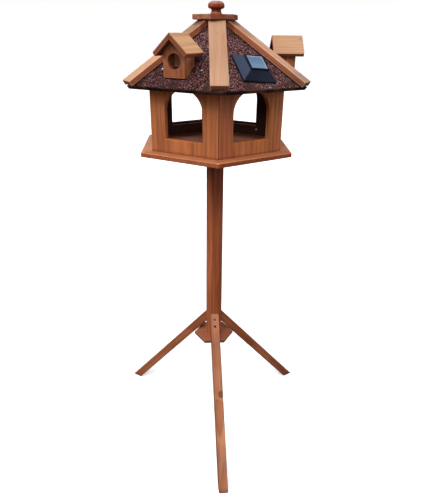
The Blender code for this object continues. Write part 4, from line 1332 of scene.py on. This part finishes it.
paper, tree, shader, place = new_finish("studio_paper")
seen = seen_directly(tree)
glow = tree.math("MULTIPLY", tree.rise(tree.vector("LENGTH", place), 0.6, 2.4), 0.6)
tree.feed(shader.inputs["Base Color"], tree.mix(seen, PAPER_DIM, PAPER_WHITE))
tree.feed(shader.inputs["Emission Strength"], tree.math("MULTIPLY", seen, tree.math("ADD", 0.4, glow)))
shader.inputs["Emission Color"].default_value = WHITE
shader.inputs["Roughness"].default_value = 0.9
shader.inputs["Specular IOR Level"].default_value = 0.0
floor_mesh.materials.append(paper)

world = bpy.data.worlds.new("studio_sky")
bpy.context.scene.world = world
world.use_nodes = True
tree = Tree(world.node_tree)
sky = world.node_tree.nodes["Background"]
sky_up = tree.split(tree.add("ShaderNodeTexCoord").outputs["Generated"])[2]
dim = tree.mix(tree.rise(sky_up, -0.1, 1.0), SKY_LOW, SKY_HIGH)
tree.feed(sky.inputs["Color"], tree.mix(seen_directly(tree), dim, WHITE))
sky.inputs["Strength"].default_value = 1.0
print("floor", 2 * FLOOR_REACH, "m wide")

# %% [markdown]
# Broad soft lamps from the upper left give the bright batten tops, the lighter left walls and the
# darker right ones. Each is named for where it stands, and its level is how bright a white face that
# is turned to it would come out.

# %% Lamps
LAMP_TARGET = Vector((0, 0, 0.85))
LAMP_FAR = 8.0


def soft_lamp(name, azimuth, elevation, size, level, tint=(1.0, 1.0, 1.0)):
    """A square lamp at an azimuth and elevation. A face turned to it renders at level times its colour."""
    azimuth, elevation = radians(azimuth), radians(elevation)
    toward = outward(azimuth) * cos(elevation) + UP * sin(elevation)
    light = bpy.data.lights.new(name, "AREA")
    light.shape = "SQUARE"
    light.size = size
    light.energy = level * (pi * LAMP_FAR) ** 2
    light.color = tint
    lamp = bpy.data.objects.new(name, light)
    lamp.location = LAMP_TARGET + toward * LAMP_FAR
    lamp.rotation_mode = "QUATERNION"
    lamp.rotation_quaternion = toward.to_track_quat("Z", "Y")
    bpy.context.scene.collection.objects.link(lamp)
    return lamp


soft_lamp("key_lamp", -10, 46, 3.6, 0.66)
soft_lamp("left_lamp", -80, 24, 3.0, 0.50)
soft_lamp("right_lamp", 84, 14, 3.0, 0.29)
soft_lamp("front_lamp", 0, 14, 3.0, 0.10)
soft_lamp("top_lamp", -84, 70, 4.0, 0.22, (0.82, 0.91, 1.0))
soft_lamp("far_top_lamp", 60, 66, 4.0, 0.08)
soft_lamp("back_lamp", 178, 40, 3.5, 0.12, (0.90, 0.95, 1.0))

bpy.context.scene.view_settings.view_transform = "Standard"
print("lamps", len(bpy.data.lights))
